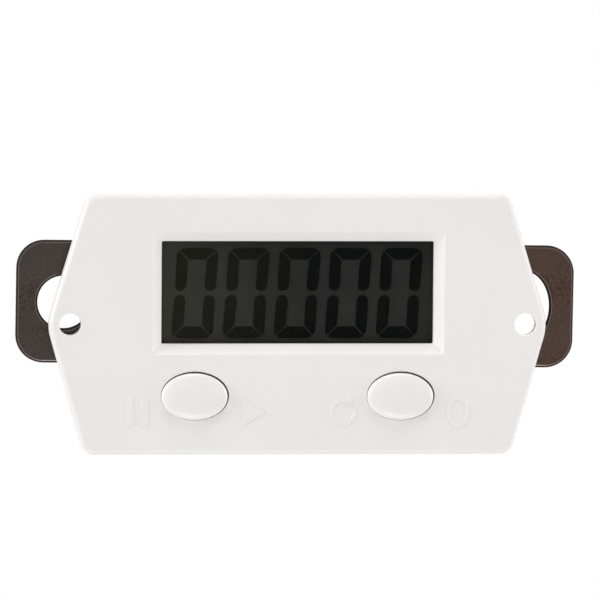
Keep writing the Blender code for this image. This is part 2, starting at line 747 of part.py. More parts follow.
def pan_screw_mesh(name, diameter, length, head_diameter, head_height):
    """The mesh of a round-headed tapping screw, its head's seat at the origin and facing back."""
    head = head_diameter / 2
    shank = diameter / 2
    profile = [
        (0, head_height),
        (head * HEAD_FLAT_SHARE, head_height),
        (head, head_height / 2),
        (head, 0),
        (shank, 0),
        (shank, -length + diameter),
        (shank * TIP_SHARE, -length),
        (0, -length),
    ]
    screw = turned(name, profile, "Y", SMALL_STEPS)
    cut(screw, *cross_recess(name + "_recess", head, head_height, (0, 0, 0)))
    mesh = evaluated_mesh(screw)
    bpy.data.objects.remove(screw, do_unlink=True)
    return mesh


def screws():
    """Four long screws through the cover posts, and two short ones on the board."""
    long_mesh = pan_screw_mesh(
        "long_screw",
        HOUSING_SCREW_DIAMETER,
        screw_seat - HOUSING_SCREW_TIP,
        HOUSING_HEAD_DIAMETER,
        HOUSING_HEAD_HEIGHT,
    )
    for name, (x, z) in post_places().items():
        screw = add_object("housing_screw_" + name, long_mesh.copy(), (x, screw_seat, z))
        finish(screw, (0.6, 0.6, 0.6), 0.3, 1.0)
    short_mesh = pan_screw_mesh(
        "short_screw", BOARD_SCREW_DIAMETER, BOARD_SCREW_LENGTH, BOARD_HEAD_DIAMETER, BOARD_HEAD_HEIGHT
    )
    for name, (x, z) in board_screw_places().items():
        place = (x, board_back + LAYER_GAP, z)
        finish(add_object("board_screw_" + name, short_mesh.copy(), place), (0.6, 0.6, 0.6), 0.3, 1.0)


def digit_segments():
    """The seven segments of one digit about its own centre, as flat outlines."""
    wide = DIGIT_WIDTH / 2
    high = DIGIT_HEIGHT / 2
    line = SEGMENT_WIDTH
    mitre = SEGMENT_MITRE
    middle = SEGMENT_MIDDLE_GAP / 2
    shoulder = middle + line * SEGMENT_POINT_SHARE
    top = [
        (-wide + mitre, high),
        (-wide + line + mitre, high - line),
        (wide - line - mitre, high - line),
        (wide - mitre, high),
    ]
    side = [
        (wide, high - mitre),
        (wide - line, high - line - mitre),
        (wide - line, shoulder),
        (wide - line / 2, middle),
        (wide, shoulder),
    ]
    bar = wide - line - middle / 2
    centre = [(-bar, 0), (-bar + line / 2, -line / 2), (bar - line / 2, -line / 2)]
    centre += [(-x, -z) for x, z in centre]
    flips = ((1, 1), (-1, 1), (1, -1), (-1, -1))
    segments = [[(x, z * flip) for x, z in top][::flip] for flip in (1, -1)]
    segments += [[(x * a, z * b) for x, z in side][:: a * b] for a, b in flips]
    segments.append(centre)
    return [[(x + z * math.tan(DIGIT_LEAN), z) for x, z in segment] for segment in segments]


def display():
    """Polariser, two glasses, reflector, holder frame and the two connector strips."""
    film_width = WINDOW_WIDTH + 2 * FILM_LAP
    film_height = WINDOW_HEIGHT + 2 * FILM_LAP
    film = (film_width, film_height, FILM_THICKNESS)
    front_glass = (cell_width, glass_height, GLASS_THICKNESS)
    rear_glass = (cell_width, cell_height, GLASS_THICKNESS)
    layers = (
        ("lcd_front_polariser", film, film_front, (0.10, 0.11, 0.09), 0.1, 0.5),
        ("lcd_front_glass", front_glass, front_glass_front, (0.6, 0.7, 0.65), 0.05, 0.4),
        ("lcd_rear_glass", rear_glass, rear_glass_front, (0.05, 0.055, 0.05), 0.1, 1),
        ("lcd_reflector", film, reflector_front, (0.35, 0.36, 0.33), 0.35, 1),
    )
    for name, (width, height, thickness), front, colour, roughness, alpha in layers:
        outline = rectangle(-width / 2, width / 2, -height / 2, height / 2)
        layer = slab(name, outline, "Y", front, front + thickness, (0, 0, WINDOW_RAISE))
        if name == "lcd_rear_glass":
            raised_segments(layer)
        finish(layer, colour, roughness, alpha=alpha)
    holder_half_width = cell_width / 2
    holder_half_height = glass_height / 2
    step_x = holder_half_width - HOLDER_RIM
    step_z = holder_half_height - STRIP_CONNECTOR_INSET - STRIP_CONNECTOR_THICKNESS - LIP_GAP
    corners = [
        (holder_half_width, holder_half_height),
        (step_x, holder_half_height),
        (step_x, step_z),
        (-step_x, step_z),
        (-step_x, holder_half_height),
        (-holder_half_width, holder_half_height),
    ]
    corners += [(-x, -z) for x, z in corners]
    place = (0, 0, WINDOW_RAISE)
    holder = slab("lcd_holder", corners, "Y", holder_front, BOARD_DEPTH - LAYER_GAP, place)
    inner_x = step_x - HOLDER_RIM
    inner_z = step_z - HOLDER_RIM
    well = rectangle(-inner_x, inner_x, -inner_z, inner_z)
    cut(holder, slab("holder_well", well, "Y", holder_front - OVERRUN, BOARD_DEPTH + OVERRUN, place))
    finish(holder, (0.75, 0.75, 0.72), 0.5)
    strip_half = step_x - FIT_GAP
    strip_low = holder_half_height - STRIP_CONNECTOR_INSET - STRIP_CONNECTOR_THICKNESS
    for name, sign in (("upper", 1), ("lower", -1)):
        centre = WINDOW_RAISE + sign * (strip_low + STRIP_CONNECTOR_THICKNESS / 2)
        low = (-strip_half, front_glass_back + LAYER_GAP, -STRIP_CONNECTOR_THICKNESS / 2)
        high = (strip_half, BOARD_DEPTH - LAYER_GAP, STRIP_CONNECTOR_THICKNESS / 2)
        connector = box("connector_strip_" + name, low, high, (0, 0, centre))
        finish(connector, (0.45, 0.45, 0.47), 0.7)


def raised_segments(glass):
    """The digit electrodes, standing a little proud of the rear glass."""
    for i in range(DIGIT_COUNT):
        x = (i - (DIGIT_COUNT - 1) / 2) * DIGIT_PITCH
        for k, segment in enumerate(digit_segments()):
            place = (x, 0, WINDOW_RAISE)
            front = rear_glass_front - SEGMENT_RISE
            name = f"segment_{i}_{k}"
            join(glass, slab(name, segment, "Y", front, rear_glass_front + SEGMENT_RISE, place))


def board():
    """Circuit board with its screw holes, and the components on its back."""
    corners = rectangle(-board_width / 2, board_width / 2, -board_height / 2, board_height / 2)
    outline = rounded(corners, [BODY_CORNER_RADIUS] * len(corners))
    made = slab("circuit_board", outline, "Y", BOARD_DEPTH, board_back, (0, 0, board_z))
    for name, (x, z) in {**post_places(), **board_screw_places()}.items():
        radius = max(HOUSING_SCREW_DIAMETER, BOARD_SCREW_DIAMETER) / 2 + SCREW_GAP
        cut(made, rod("board_hole_" + name, radius, "Y", 0, body_depth, SMALL_STEPS, (x, 0, z)))
    finish(made, (0.03, 0.20, 0.08), 0.45)
    seat = board_back + LAYER_GAP
    x, z = (share * size for share, size in zip(CHIP_SHARES, (board_width, board_height)))
    rings = [(0, CHIP_HEIGHT)]
    for k in range(1, DOME_RINGS + 1):
        angle = math.pi / 2 * k / DOME_RINGS
        rings.append((CHIP_RADIUS * math.sin(angle), CHIP_HEIGHT * math.cos(angle)))
    chip = turned("counter_chip", rings + [(0, 0)], "Y", ROUND_STEPS, (x, seat, z))
    finish(chip, (0.015, 0.015, 0.015), 0.35)
    x, z = (share * size for share, size in zip(CRYSTAL_SHARES, (board_width, board_height)))
    half = CRYSTAL_LENGTH / 2
    place = (x, seat + CRYSTAL_DIAMETER / 2, z)
    crystal = rod("clock_crystal", CRYSTAL_DIAMETER / 2, "X", -half, half, SMALL_STEPS, place)
    finish(crystal, (0.7, 0.7, 0.7), 0.25, 1)
    for name, shares in SMALL_PART_SHARES.items():
        x, z = (share * size for share, size in zip(shares, (board_width, board_height)))
        capacitor = name.startswith("capacitor")
        height = CAPACITOR_HEIGHT if capacitor else RESISTOR_HEIGHT
        low = (-CHIP_PART_LENGTH / 2, 0, -CHIP_PART_WIDTH / 2)
        part = box(name, low, (CHIP_PART_LENGTH / 2, height, CHIP_PART_WIDTH / 2), (x, seat, z))
        finish(part, (0.45, 0.30, 0.18) if capacitor else (0.02, 0.02, 0.02), 0.5)
    sensor_header(seat, HEADER_SHARE * board_height)


def sensor_header(seat, z):
    """Two-pin header for the sensor's lead, open at the back, with a slot in its lower wall."""
    x = grommet_x
    outside = (HEADER_WIDTH / 2, HEADER_HEIGHT / 2)
    low = (-outside[0], 0, -outside[1])
    header = box("sensor_header", low, (outside[0], HEADER_DEPTH, outside[1]), (x, seat, z))
    inside = [size - HEADER_WALL for size in outside]
    low = (-inside[0], HEADER_WALL, -inside[1])
    cut(header, box("header_well", low, (inside[0], HEADER_DEPTH + OVERRUN, inside[1]), (x, seat, z)))
    slot = (-PIN_SPACING / 2, HEADER_WALL, -outside[1] - OVERRUN)
    cut(header, box("header_slot", slot, (PIN_SPACING / 2, HEADER_DEPTH + OVERRUN, 0), (x, seat, z)))
    for name, sign in (("1", -1), ("2", 1)):
        place = (x + sign * PIN_SPACING / 2, seat, z)
        hole = PIN_SIZE / 2 + LAYER_GAP
        way = box("pin_way_" + name, (-hole, -OVERRUN, -hole), (hole, HEADER_WALL + OVERRUN, hole), place)
        cut(header, way)
        pin_high = (PIN_SIZE / 2, HEADER_DEPTH - HEADER_WALL, PIN_SIZE / 2)
        pin = box("sensor_pin_" + name, (-PIN_SIZE / 2, 0, -PIN_SIZE / 2), pin_high, place)
        finish(pin, (0.75, 0.65, 0.35), 0.25, 1.0)
    finish(header, (0.80, 0.78, 0.72), 0.5)


def buttons():
    """Button caps with the rubber dome, conductive pill and contact pad behind each."""
    skirt_front = FIT_GAP
    skirt_back = skirt_front + BUTTON_SKIRT_THICKNESS
    dome_top = skirt_back + FIT_GAP
    base_back = BOARD_DEPTH - LAYER_GAP
    base_front = base_back - DOME_SKIN
    pill_back = base_back - PAD_THICKNESS - LAYER_GAP - TRAVEL_SPARE - BUTTON_TRAVEL
    pill_front = pill_back - PILL_THICKNESS
    post_back = pill_front - LAYER_GAP
    web_back = dome_top + DOME_TOP_THICKNESS
    cap_rings = []
    for k in range(DOME_RINGS):
        angle = math.pi / 2 * (1 - k / DOME_RINGS)
        share = math.cos(angle) if k else 1 / OVAL_STEPS
        y = -PLATE_THICKNESS - BUTTON_RIM_RISE - BUTTON_DOME_RISE * math.sin(angle)
        cap_rings.append(oval(BUTTON_WIDTH / 2 * share, BUTTON_HEIGHT / 2 * share, y))
    for y in (-PLATE_THICKNESS - BUTTON_RIM_RISE, skirt_front):
        cap_rings.append(oval(BUTTON_WIDTH / 2, BUTTON_HEIGHT / 2, y))
    for y in (skirt_front, skirt_back):
        cap_rings.append(oval(skirt_half_width, skirt_half_height, y))
    foot_inner = DOME_FOOT_RADIUS - DOME_SKIN
    dome_profile = [
        (0, dome_top),
        (DOME_TOP_RADIUS, dome_top),
        (DOME_FOOT_RADIUS, base_front),
        (DOME_BASE_RADIUS, base_front),
        (DOME_BASE_RADIUS, base_back),
        (foot_inner, base_back),
        (foot_inner, base_front),
        (DOME_TOP_RADIUS - DOME_SKIN, web_back),
        (DOME_POST_RADIUS, web_back),
        (DOME_POST_RADIUS, post_back),
        (0, post_back),
    ]
    pad_front = base_back - PAD_THICKNESS
    for name, x in (("pause", -button_x), ("reset", button_x)):
        place = (x, 0, button_z)
        finish(loft(name + "_button", cap_rings, place), WHITE, 0.4)
        dome = turned(name + "_rubber_dome", dome_profile[::-1], "Y", SMALL_STEPS, place)
        finish(dome, (0.55, 0.55, 0.56), 0.8)
        pill = rod(name + "_contact_pill", PILL_RADIUS, "Y", pill_front, pill_back, SMALL_STEPS, place)
        finish(pill, (0.02, 0.02, 0.02), 0.6)
        pad = rod(name + "_contact_pad", PAD_RADIUS, "Y", pad_front, base_back, SMALL_STEPS, place)
        finish(pad, (0.04, 0.04, 0.04), 0.5)


def battery():
    """Drawer, cell, positive contact strip and negative coil spring."""
    centre = (drawer_x, cell_y, cell_z)
    half_deep = drawer_half_depth
    frame_low = (-drawer_half_width, -half_deep, body_bottom + BITE - cell_z)
    frame_high = (drawer_half_width, half_deep, drawer_top - cell_z)
    drawer = box("battery_drawer", frame_low, frame_high, centre)
    handle_low = (-handle_half_width, -handle_half_depth, body_bottom - cell_z)
    handle_high = (handle_half_width, handle_half_depth, body_bottom + DRAWER_HANDLE_THICKNESS - cell_z)
    join(drawer, box("drawer_handle", handle_low, handle_high, centre))
    pocket_span = (-half_deep - OVERRUN, half_deep + OVERRUN)
    cut(drawer, rod("cell_pocket", pocket_radius, "Y", *pocket_span, ROUND_STEPS, centre))
    groove_z = body_bottom - DRAWER_GROOVE_SINK
    groove_span = (DRAWER_WALL - drawer_half_width, drawer_half_width - DRAWER_WALL)
    groove_place = (drawer_x, cell_y, groove_z)
    cut(drawer, rod("finger_groove", DRAWER_GROOVE_RADIUS, "X", *groove_span, SMALL_STEPS, groove_place))
    finish(drawer, WHITE, 0.5)
    can = CELL_DIAMETER / 2
    cap = CELL_CAP_DIAMETER / 2
    half = CELL_THICKNESS / 2
    profile = [
        (0, half),
        (can - CELL_EDGE_ROUND, half),
        (can, half - CELL_EDGE_ROUND),
        (can, -half + CELL_CAP_HEIGHT + CELL_EDGE_ROUND),
        (can - CELL_EDGE_ROUND, -half + CELL_CAP_HEIGHT),
        (cap, -half + CELL_CAP_HEIGHT),
        (cap, -half + CELL_EDGE_ROUND),
        (cap - CELL_EDGE_ROUND, -half),
        (0, -half),
    ]
    finish(turned("battery_cell", profile, "Y", ROUND_STEPS, centre), (0.75, 0.75, 0.74), 0.25, 1.0)
    arm_low = drawer_top + FIT_GAP
    arm_high = arm_low + CONTACT_THICKNESS
    bent = [
        (board_back + LAYER_GAP, arm_low),
        (contact_front, arm_low),
        (contact_front, drawer_top - CONTACT_DROP),
        (contact_back, drawer_top - CONTACT_DROP),
        (contact_back, arm_high),
        (board_back + LAYER_GAP, arm_high),
    ]
    half_wide = CONTACT_WIDTH / 2
    contact = slab("battery_positive_contact", bent, "X", -half_wide, half_wide, (drawer_x, 0, 0))
    finish(contact, (0.72, 0.70, 0.62), 0.25, 1.0)
    coil_spring()


def coil_spring():
    """A conical coil from the board to the cell's cap."""
    curve = bpy.data.curves.new("battery_negative_spring", "CURVE")
    curve.dimensions = "3D"
    curve.bevel_depth = SPRING_WIRE / 2
    curve.bevel_resolution = 1
    curve.use_fill_caps = True
    start = board_back + LAYER_GAP + SPRING_WIRE / 2
    length = cell_front - FIT_GAP - SPRING_WIRE / 2 - start
    count = SPRING_TURNS * SPRING_STEPS
    line = curve.splines.new("POLY")
    line.points.add(count)
    for k, point in enumerate(line.points):
        share = k / count
        angle = math.tau * SPRING_TURNS * share
        radius = SPRING_FOOT_RADIUS + (SPRING_TIP_RADIUS - SPRING_FOOT_RADIUS) * share
        point.co = (radius * math.cos(angle), start + length * share, radius * math.sin(angle), 1)
    spring = add_object("battery_negative_spring", curve, (drawer_x, 0, cell_z))
    mesh = evaluated_mesh(spring, merge=LAYER_GAP / 100)
    bpy.data.objects.remove(spring, do_unlink=True)
    finish(add_object("battery_negative_spring", mesh, (drawer_x, 0, cell_z)), (0.7, 0.7, 0.7), 0.25, 1.0)


def grommet():
    """Rubber ring that lines the cable hole in the back wall."""
    bore = GROMMET_BORE / 2
    neck = GROMMET_NECK / 2
    flange = GROMMET_FLANGE / 2
    outside = body_depth + LIP_GAP
    inside = inner_back - LIP_GAP
    profile = [
        (bore, outside + GROMMET_FLANGE_THICKNESS),
        (flange - LIP_GAP, outside + GROMMET_FLANGE_THICKNESS),
        (flange, outside),
        (neck, outside),
        (neck, inside),
        (flange, inside),
        (flange, inside - GROMMET_FLANGE_THICKNESS),
        (bore, inside - GROMMET_FLANGE_THICKNESS),
    ]
    made = turned("cable_grommet", profile, "Y", ROUND_STEPS, (grommet_x, 0, grommet_z))
    finish(made, (0.02, 0.02, 0.02), 0.75)


clear_scene()
PARTS = make_collection("proximity_sensor_counter")
CUTTERS = make_collection("cutters", hidden=True)
front_housing()
rear_cover()
clamp()
clamp_fixing()
screws()
display()
board()
buttons()
battery()
grommet()
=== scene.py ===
import math

import bmesh
import bpy
from mathutils import Matrix, Vector


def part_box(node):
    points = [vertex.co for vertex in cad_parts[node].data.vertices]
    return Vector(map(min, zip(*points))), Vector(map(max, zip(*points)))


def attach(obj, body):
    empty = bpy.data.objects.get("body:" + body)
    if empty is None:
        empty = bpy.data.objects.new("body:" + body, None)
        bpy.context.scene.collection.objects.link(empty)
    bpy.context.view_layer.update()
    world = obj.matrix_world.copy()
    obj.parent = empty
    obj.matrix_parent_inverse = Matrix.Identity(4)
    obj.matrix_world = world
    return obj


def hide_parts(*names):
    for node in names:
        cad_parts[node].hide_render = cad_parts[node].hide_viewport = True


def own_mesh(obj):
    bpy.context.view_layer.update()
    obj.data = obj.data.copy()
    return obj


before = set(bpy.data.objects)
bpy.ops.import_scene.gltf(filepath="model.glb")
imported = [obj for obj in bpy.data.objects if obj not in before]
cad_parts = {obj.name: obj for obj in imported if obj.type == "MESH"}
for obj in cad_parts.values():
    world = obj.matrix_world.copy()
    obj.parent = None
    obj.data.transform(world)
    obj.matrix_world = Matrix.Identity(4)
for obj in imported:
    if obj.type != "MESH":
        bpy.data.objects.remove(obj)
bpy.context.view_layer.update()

bl_info = {
    "name": "Proximity sensor counter",
    "version": (1, 0, 0),
    "blender": (4, 5, 0),
    "location": "3D View > Sidebar > Counter",
    "description": "Dresses the packed model of a panel counter for a proximity sensor",
    "category": "Object",
}

RIM = "rim"
QUARTER = math.pi / 2

# Shared lengths in metres: merging distance, reach past a face, overlap of joints, clearance
WELD = 1e-6
OVERRUN = 0.001
BITE = 0.0002
FIT = 0.00015

# Steps and segments of curved shapes
CORNER_STEPS = 8
OVAL_STEPS = 72
FLARE_STEPS = 4
CIRCLE_STEPS = 48
ROD_STEPS = 32
PILOT_STEPS = 24
TURNED_STEPS = 64
POCKET_STEPS = 96
GROOVE_STEPS = 16
FILLET_STEPS = 8
ROUND_STEPS = 6
BORDER_STEPS = 4
SIGN_STEPS = 40
CAP_STEPS = 96
CAP_RINGS = 36
DOME_STEPS = 8
DIGIT_STEPS = 12
EAR_STEPS = 12
WEB_HOLE_STEPS = 40
BEND_STEPS = 8
HEAD_STEPS = 12

# Shading: angles in degrees past which an edge stays sharp, and the weight of large faces
SHARP_ANGLE = 32.0
BENT_SHARP_ANGLE = 40.0
NORMAL_WEIGHT = 60

# Front housing
POST_RADIUS = 0.0019
PILOT_RADIUS = 0.00115
BOARD_PILOT_RADIUS = 0.00095
PILOT_DEPTH = 0.01
RIB_HALF_LENGTH = 0.015
RIB_BACK = 0.0030
RIB_THICKNESS = 0.0008
RIB_GAP = 0.0003

# Moulded signs
SIGN_REACH = 0.0079
SIGN_DROP = 0.0022
SIGN_HALF = 0.0019
SIGN_HEIGHT = 0.00008
SIGN_EDGE = 0.00006
BAR_HALF = 0.00045
BAR_SHIFT = 0.0010
TRIANGLE_BACK = 0.0014
TRIANGLE_TIP = 0.0018
BAND_WIDTH = 0.0005
TURN_INSET = 0.0003
TURN_START = math.radians(70)
TURN_END = math.radians(380)
ARROW_LENGTH = 0.0011
ARROW_HALF = 0.0007
NOUGHT_HALF = 0.0013

# Rear cover
LIP_THICKNESS = 0.0006
LIP_ROOT = 0.0007
HOLLOW_START = 0.0005
COVER_POST_RADIUS = 0.0023
COVER_POST_GAP = 0.00025
SLOT_MARGIN = 0.0012
GUIDE_HALF = 0.0005
GUIDE_SETBACK = 0.001
GUIDE_RISE = 0.0003
BOSS_RADIUS = 0.0029
BOSS_LENGTH = 0.0048
INSERT_PLAY = 0.00005
NOTCH_RADIUS = 0.0016
NOTCH_OVER_BOARD = 0.0013
HANDLE_RECESS = 0.00075
CABLE_HOLE_RADIUS = 0.00245

# Button caps and their domes
CAP_SINK = 0.00005
CAP_CURVE = 2.7
CAP_MIDDLE_SHARE = 0.004
CAP_SKIRT = 0.0006
CAP_FLANGE = 0.0004
DOME_SKIN = 0.0005
DOME_ROUND = 0.0003
DOME_WEB = 0.0008
DOME_POST_END = 0.00185
DOME_BASE_TO_TOP = 1.5
DOME_BASE_TO_POST = 2.12
DOME_BULGE = 0.0002
DOME_FLARE = 1.6

# Display
DIGITS = 5
DIGIT_RISE = 0.00008
DIGIT_ROOT = 0.00002
BLUNT_SHARE = 0.55
GLASS_EDGE = 0.00008
GLASS_CORNER = 0.0004

# Clamp
CLAMP_GAP = 0.0004
CLAMP_END = 0.0382
CLAMP_BEND = 0.0006
CLAMP_EDGE = 0.0004
CLAMP_SHIFT = -0.00015
CLAMP_RAISE = 0.0026
LEFT_HOLE_RADIUS = 0.00358
LEFT_HOLE_INSET = 0.00651
LEFT_HOLE_UP = -0.00007
RIGHT_HOLE_HALF_WIDTH = 0.00356
RIGHT_HOLE_HALF_HEIGHT = 0.0048
RIGHT_HOLE_INSET = 0.00688
WEB_HOLE_RADIUS = 0.00155

# Screws and washer
COVER_SHANK = 0.0010
COVER_HEAD = 0.0013
COVER_RECESS = 0.0004
CLAMP_SHANK = 0.00125
CLAMP_HEAD = 0.0015
CLAMP_RECESS = 0.0006
HEAD_RIM_SHARE = 0.35
HEAD_WIDE_POWER = 0.85
HEAD_HIGH_POWER = 0.7
HEAD_EDGE = 0.0001
PITCH_SHARE = 0.36
ROOT_SHARE = 0.88
TIP_SHARE = 1.6
POINT_SHARE = 0.35
POINT_LENGTH = 0.0002
CROSS_SHARE = 0.55
CROSS_DEPTH = 0.0006
WASHER_BORE = 0.0014
WASHER_EDGE = 0.00008

# Battery drawer
TRAY_WALL = 0.0009
TRAY_SETBACK = 0.0004
HANDLE_EDGE = 0.00018
HANDLE_CUT = 0.3
HANDLE_CORNER = 0.0005
HANDLE_THICKNESS = 0.0006
GROOVE_PITCH = 0.0011
GROOVE_RADIUS = 0.00032
GROOVE_END = 0.0009
GROOVE_LIFT = 0.00002

# Cable grommet
RING_BORE = 0.0015
RING_NECK = 0.0023
RING_FLANGE = 0.0009
RING_ROUND = 0.0003

# Stage: each lamp's place, width and power
LAMPS = {
    "left_lamp": ((-1.15, -0.21, 0.28), 0.5, 8.6),
    "right_lamp": ((1.17, -0.21, 0.12), 0.5, 5.8),
    "top_lamp": ((0.05, -0.22, 1.17), 0.5, 7.6),
    "low_lamp": ((0.0, -0.70, -0.80), 0.5, 6.6),
    "back_lamp": ((0.35, 1.17, 0.08), 0.8, 5.6),
}
WORLD_LIGHT = 0.41
WORLD_SEEN = 1.0
FLOOR_HALF = 0.26
SENSOR_WIDTH = 36.0
NEAREST_SEEN = 0.01


def middle_of(node):
    low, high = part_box(node)
    return (low + high) / 2


def spread_of(node):
    low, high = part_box(node)
    return high - low


PLATE_LOW, PLATE_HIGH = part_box("front_housing")
COVER_LOW, COVER_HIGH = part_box("rear_cover")
CLAMP_LOW, CLAMP_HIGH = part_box("clamp_bracket")
BOARD_LOW, BOARD_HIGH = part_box("circuit_board")
GLASS_LOW, GLASS_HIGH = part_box("lcd_rear_glass")
DRAWER_LOW, DRAWER_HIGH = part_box("battery_drawer")
POST = middle_of("housing_screw_top_right")
POST_BOTTOM = middle_of("housing_screw_bottom_right")
BOARD_SCREW = middle_of("board_screw_right")
CELL = middle_of("battery_cell")
CELL_SIZE = spread_of("battery_cell")
CLAMP_SCREW = middle_of("clamp_screw")
GROMMET = middle_of("cable_grommet")


def length(name, description, default, lowest=0.0, highest=0.1):
    """A size that a user may change."""
    return bpy.props.FloatProperty(
        name=name,
        description=description,
        default=default,
        min=lowest,
        max=highest,
        precision=5,
        subtype="DISTANCE",
        unit="LENGTH",
    )


def turn(name, description, degrees):
    """An angle that a user may change."""
    return bpy.props.FloatProperty(
        name=name,
        description=description,
        default=math.radians(degrees),
        subtype="ANGLE",
        unit="ROTATION",
    )


def colour(name, description, default):
    """A colour that a user may change."""
    return bpy.props.FloatVectorProperty(
        name=name,
        description=description,
        default=default,
        min=0.0,
        max=1.0,
        size=3,
        subtype="COLOR",
    )


class CounterSizes(bpy.types.PropertyGroup):
    """Sizes of the housing, the buttons, the display and the clamp, and the camera's place."""

    plate_thickness: length("Plate thickness", "Depth of the front plate", 0.0020)
    plate_shoulder: length("Plate shoulder", "Flat top edge past each side of the body", 0.0048)
    plate_foot_extra: length("Plate foot extra", "How much longer the bottom edge is", 0.00085)
    plate_fillet: length("Plate fillet", "Rounding of the plate's front edge", 0.0008)
    plate_corner: length("Plate corner", "Radius of the plate's four blunt corners", 0.0019)
    plate_tip: length("Plate tip", "Radius of the plate's two side tips", 0.0064)
    plate_hole: length("Plate hole", "Diameter of the two screw holes", 0.0030)
    plate_hole_inset: length("Plate hole inset", "From a tip to the middle of its hole", 0.0029)
    window_width: length("Window width", "Width of the display window", 0.0372)
    window_height: length("Window height", "Height of the display window", 0.01401)
    window_raise: length("Window raise", "Height of the window's middle", 0.00427)
    window_corner: length("Window corner", "Corner radius of the window", 0.0002)
    bezel_width: length("Bezel width", "Width of the sloping border", 0.00137)
    bezel_depth: length("Bezel depth", "Depth of the sloping border", 0.0014)
    edge_round: length("Edge rounding", "Rounding of small moulded edges", 0.00012)
    wall: length("Wall", "Thickness of the housing walls", 0.0012)
    body_corner: length("Body corner", "Corner radius of the body", 0.0020)
    back_fillet: length("Back fillet", "Rounding of the body's back edge", 0.0007)
    seam: length("Seam", "Chamfer along the joint of the two shells", 0.00015)
    button_width: length("Button width", "Width of a button cap", 0.00905)
    button_height: length("Button height", "Height of a button cap", 0.00637)
    button_gap: length("Button gap", "Gap round a button cap", 0.00012)
    button_set: length("Button set", "How far the caps sit to the lower left in their holes", 0.000083)
    digit_pitch: length("Digit pitch", "From one digit to the next", 0.00700)
    digit_width: length("Digit width", "Width of a digit", 0.0056)
    digit_height: length("Digit height", "Height of a digit", 0.0122)
    segment_width: length("Segment width", "Width of a segment", 0.00158)
    digit_corner: length("Digit corner", "Outer corner radius of a digit", 0.0011)
    segment_gap: length("Segment gap", "Pale mitre line between two segments", 0.00014)
    segment_split: length("Segment split", "Gap between upper and lower segments", 0.00056)
    digit_across: length("Digits across", "From the window's middle to the row's", 0.00009, -0.01)
    digit_up: length("Digits up", "From the window's middle up to the row's", -0.0002, -0.01)
    digit_lean: turn("Digit lean", "Slant of the digits", 3.8)
    clamp_width: length("Clamp width", "Width of the clamp's strip", 0.01675)
    clamp_thickness: length("Clamp thickness", "Thickness of the clamp's strip", 0.0010)
    clamp_corner: length("Clamp corner", "Corner radius of the ears", 0.0038)
    clamp_lean: turn("Clamp lean", "How far the clamp leans in its plane", 0.62)
    camera_distance: length("Camera distance", "From the camera to the plate", 0.9, 0.1, 5.0)
    view_width: length("View width", "Width that the picture shows", 0.0816, 0.01, 1.0)
    view_side: turn("View side", "How far the camera stands to the left", 5.5)
    view_rise: turn("View rise", "How far the camera stands above", 4.5)
    view_roll: turn("View roll", "How far the camera is turned about its line of sight", 0.42)
    aim_across: length("Aim across", "Middle of the picture, across", 0.00017, -0.05, 0.05)
    aim_up: length("Aim up", "Middle of the picture, upwards", 0.00336, -0.05, 0.05)
    floor_drop: length("Floor drop", "From the origin down to the floor", 0.2, 0.0, 1.0)


class CounterColours(bpy.types.PropertyGroup):
    """Colours of the finishes."""

    shell: colour("Shell", "Warm white moulded plastic", (0.80, 0.775, 0.753))
    cap: colour("Cap", "Warm white button plastic", (0.80, 0.774, 0.754))
    steel: colour("Clamp steel", "Dark polished strip", (0.058, 0.045, 0.039))
    plate: colour("Plated steel", "Bright zinc plate", (0.50, 0.50, 0.49))
    digit: colour("Digit", "Segments that are switched on", (0.0015, 0.0015, 0.0015))
    glass: colour("Display ground", "Ground behind the digits", (0.115, 0.115, 0.110))
    rubber: colour("Rubber", "Black rubber", (0.018, 0.018, 0.018))
    floor: colour("Floor", "Pale floor", (0.86, 0.86, 0.85))


def sizes():
    return bpy.context.scene.counter_sizes


def colour_of(name):
    return tuple(getattr(bpy.context.scene.counter_colours, name))


# Nodes and finishes

# Finishes: places are in metres and waves in radians per metre.
# A grain is its features per metre and its depth.
# Reach across the clamp of its painted warm and cool reflection
REFLECTION_WARM_REACH = 0.037
FILM_LEFT = -0.019
FILM_RIGHT = 0.002
FILM_DRIFT = 0.003
GROUND_LEFT = (-0.018, -0.004)
GROUND_RIGHT = (0.000, 0.018)
FLOOR_FADE = (0.004, 0.030)
TRACK_WAVES = 6800.0
LAYER_WAVES = 9000.0
SHELL_GRAIN = (5200.0, 0.000006)
CAP_GRAIN = (6000.0, 0.000003)
COVER_GRAIN = (3600.0, 0.00001)
INNER_GRAIN = (3000.0, 0.00001)
COVER_SHADE = 0.985
DRAWER_SHADE = 0.98


class Value:
    """A node's output that adds its Math nodes when it stands in an expression."""

    def __init__(self, nodes, socket):
        self.nodes = nodes
        self.socket = socket

    def math(self, operation, first, second=None):
        inputs = {0: first} if second is None else {0: first, 1: second}
        return self.nodes.node("ShaderNodeMath", {"operation": operation}, inputs)

    def __add__(self, other):
        return self.math("ADD", self, other)

    def __radd__(self, other):
        return self.math("ADD", other, self)

    def __sub__(self, other):
        return self.math("SUBTRACT", self, other)

    def __rsub__(self, other):
        return self.math("SUBTRACT", other, self)

    def __mul__(self, other):
        return self.math("MULTIPLY", self, other)

    def __rmul__(self, other):
        return self.math("MULTIPLY", other, self)

    def above(self, limit):
        return self.math("GREATER_THAN", self, limit)

    def highest(self, other):
        return self.math("MAXIMUM", self, other)

    def sine(self):
        return self.math("SINE", self)


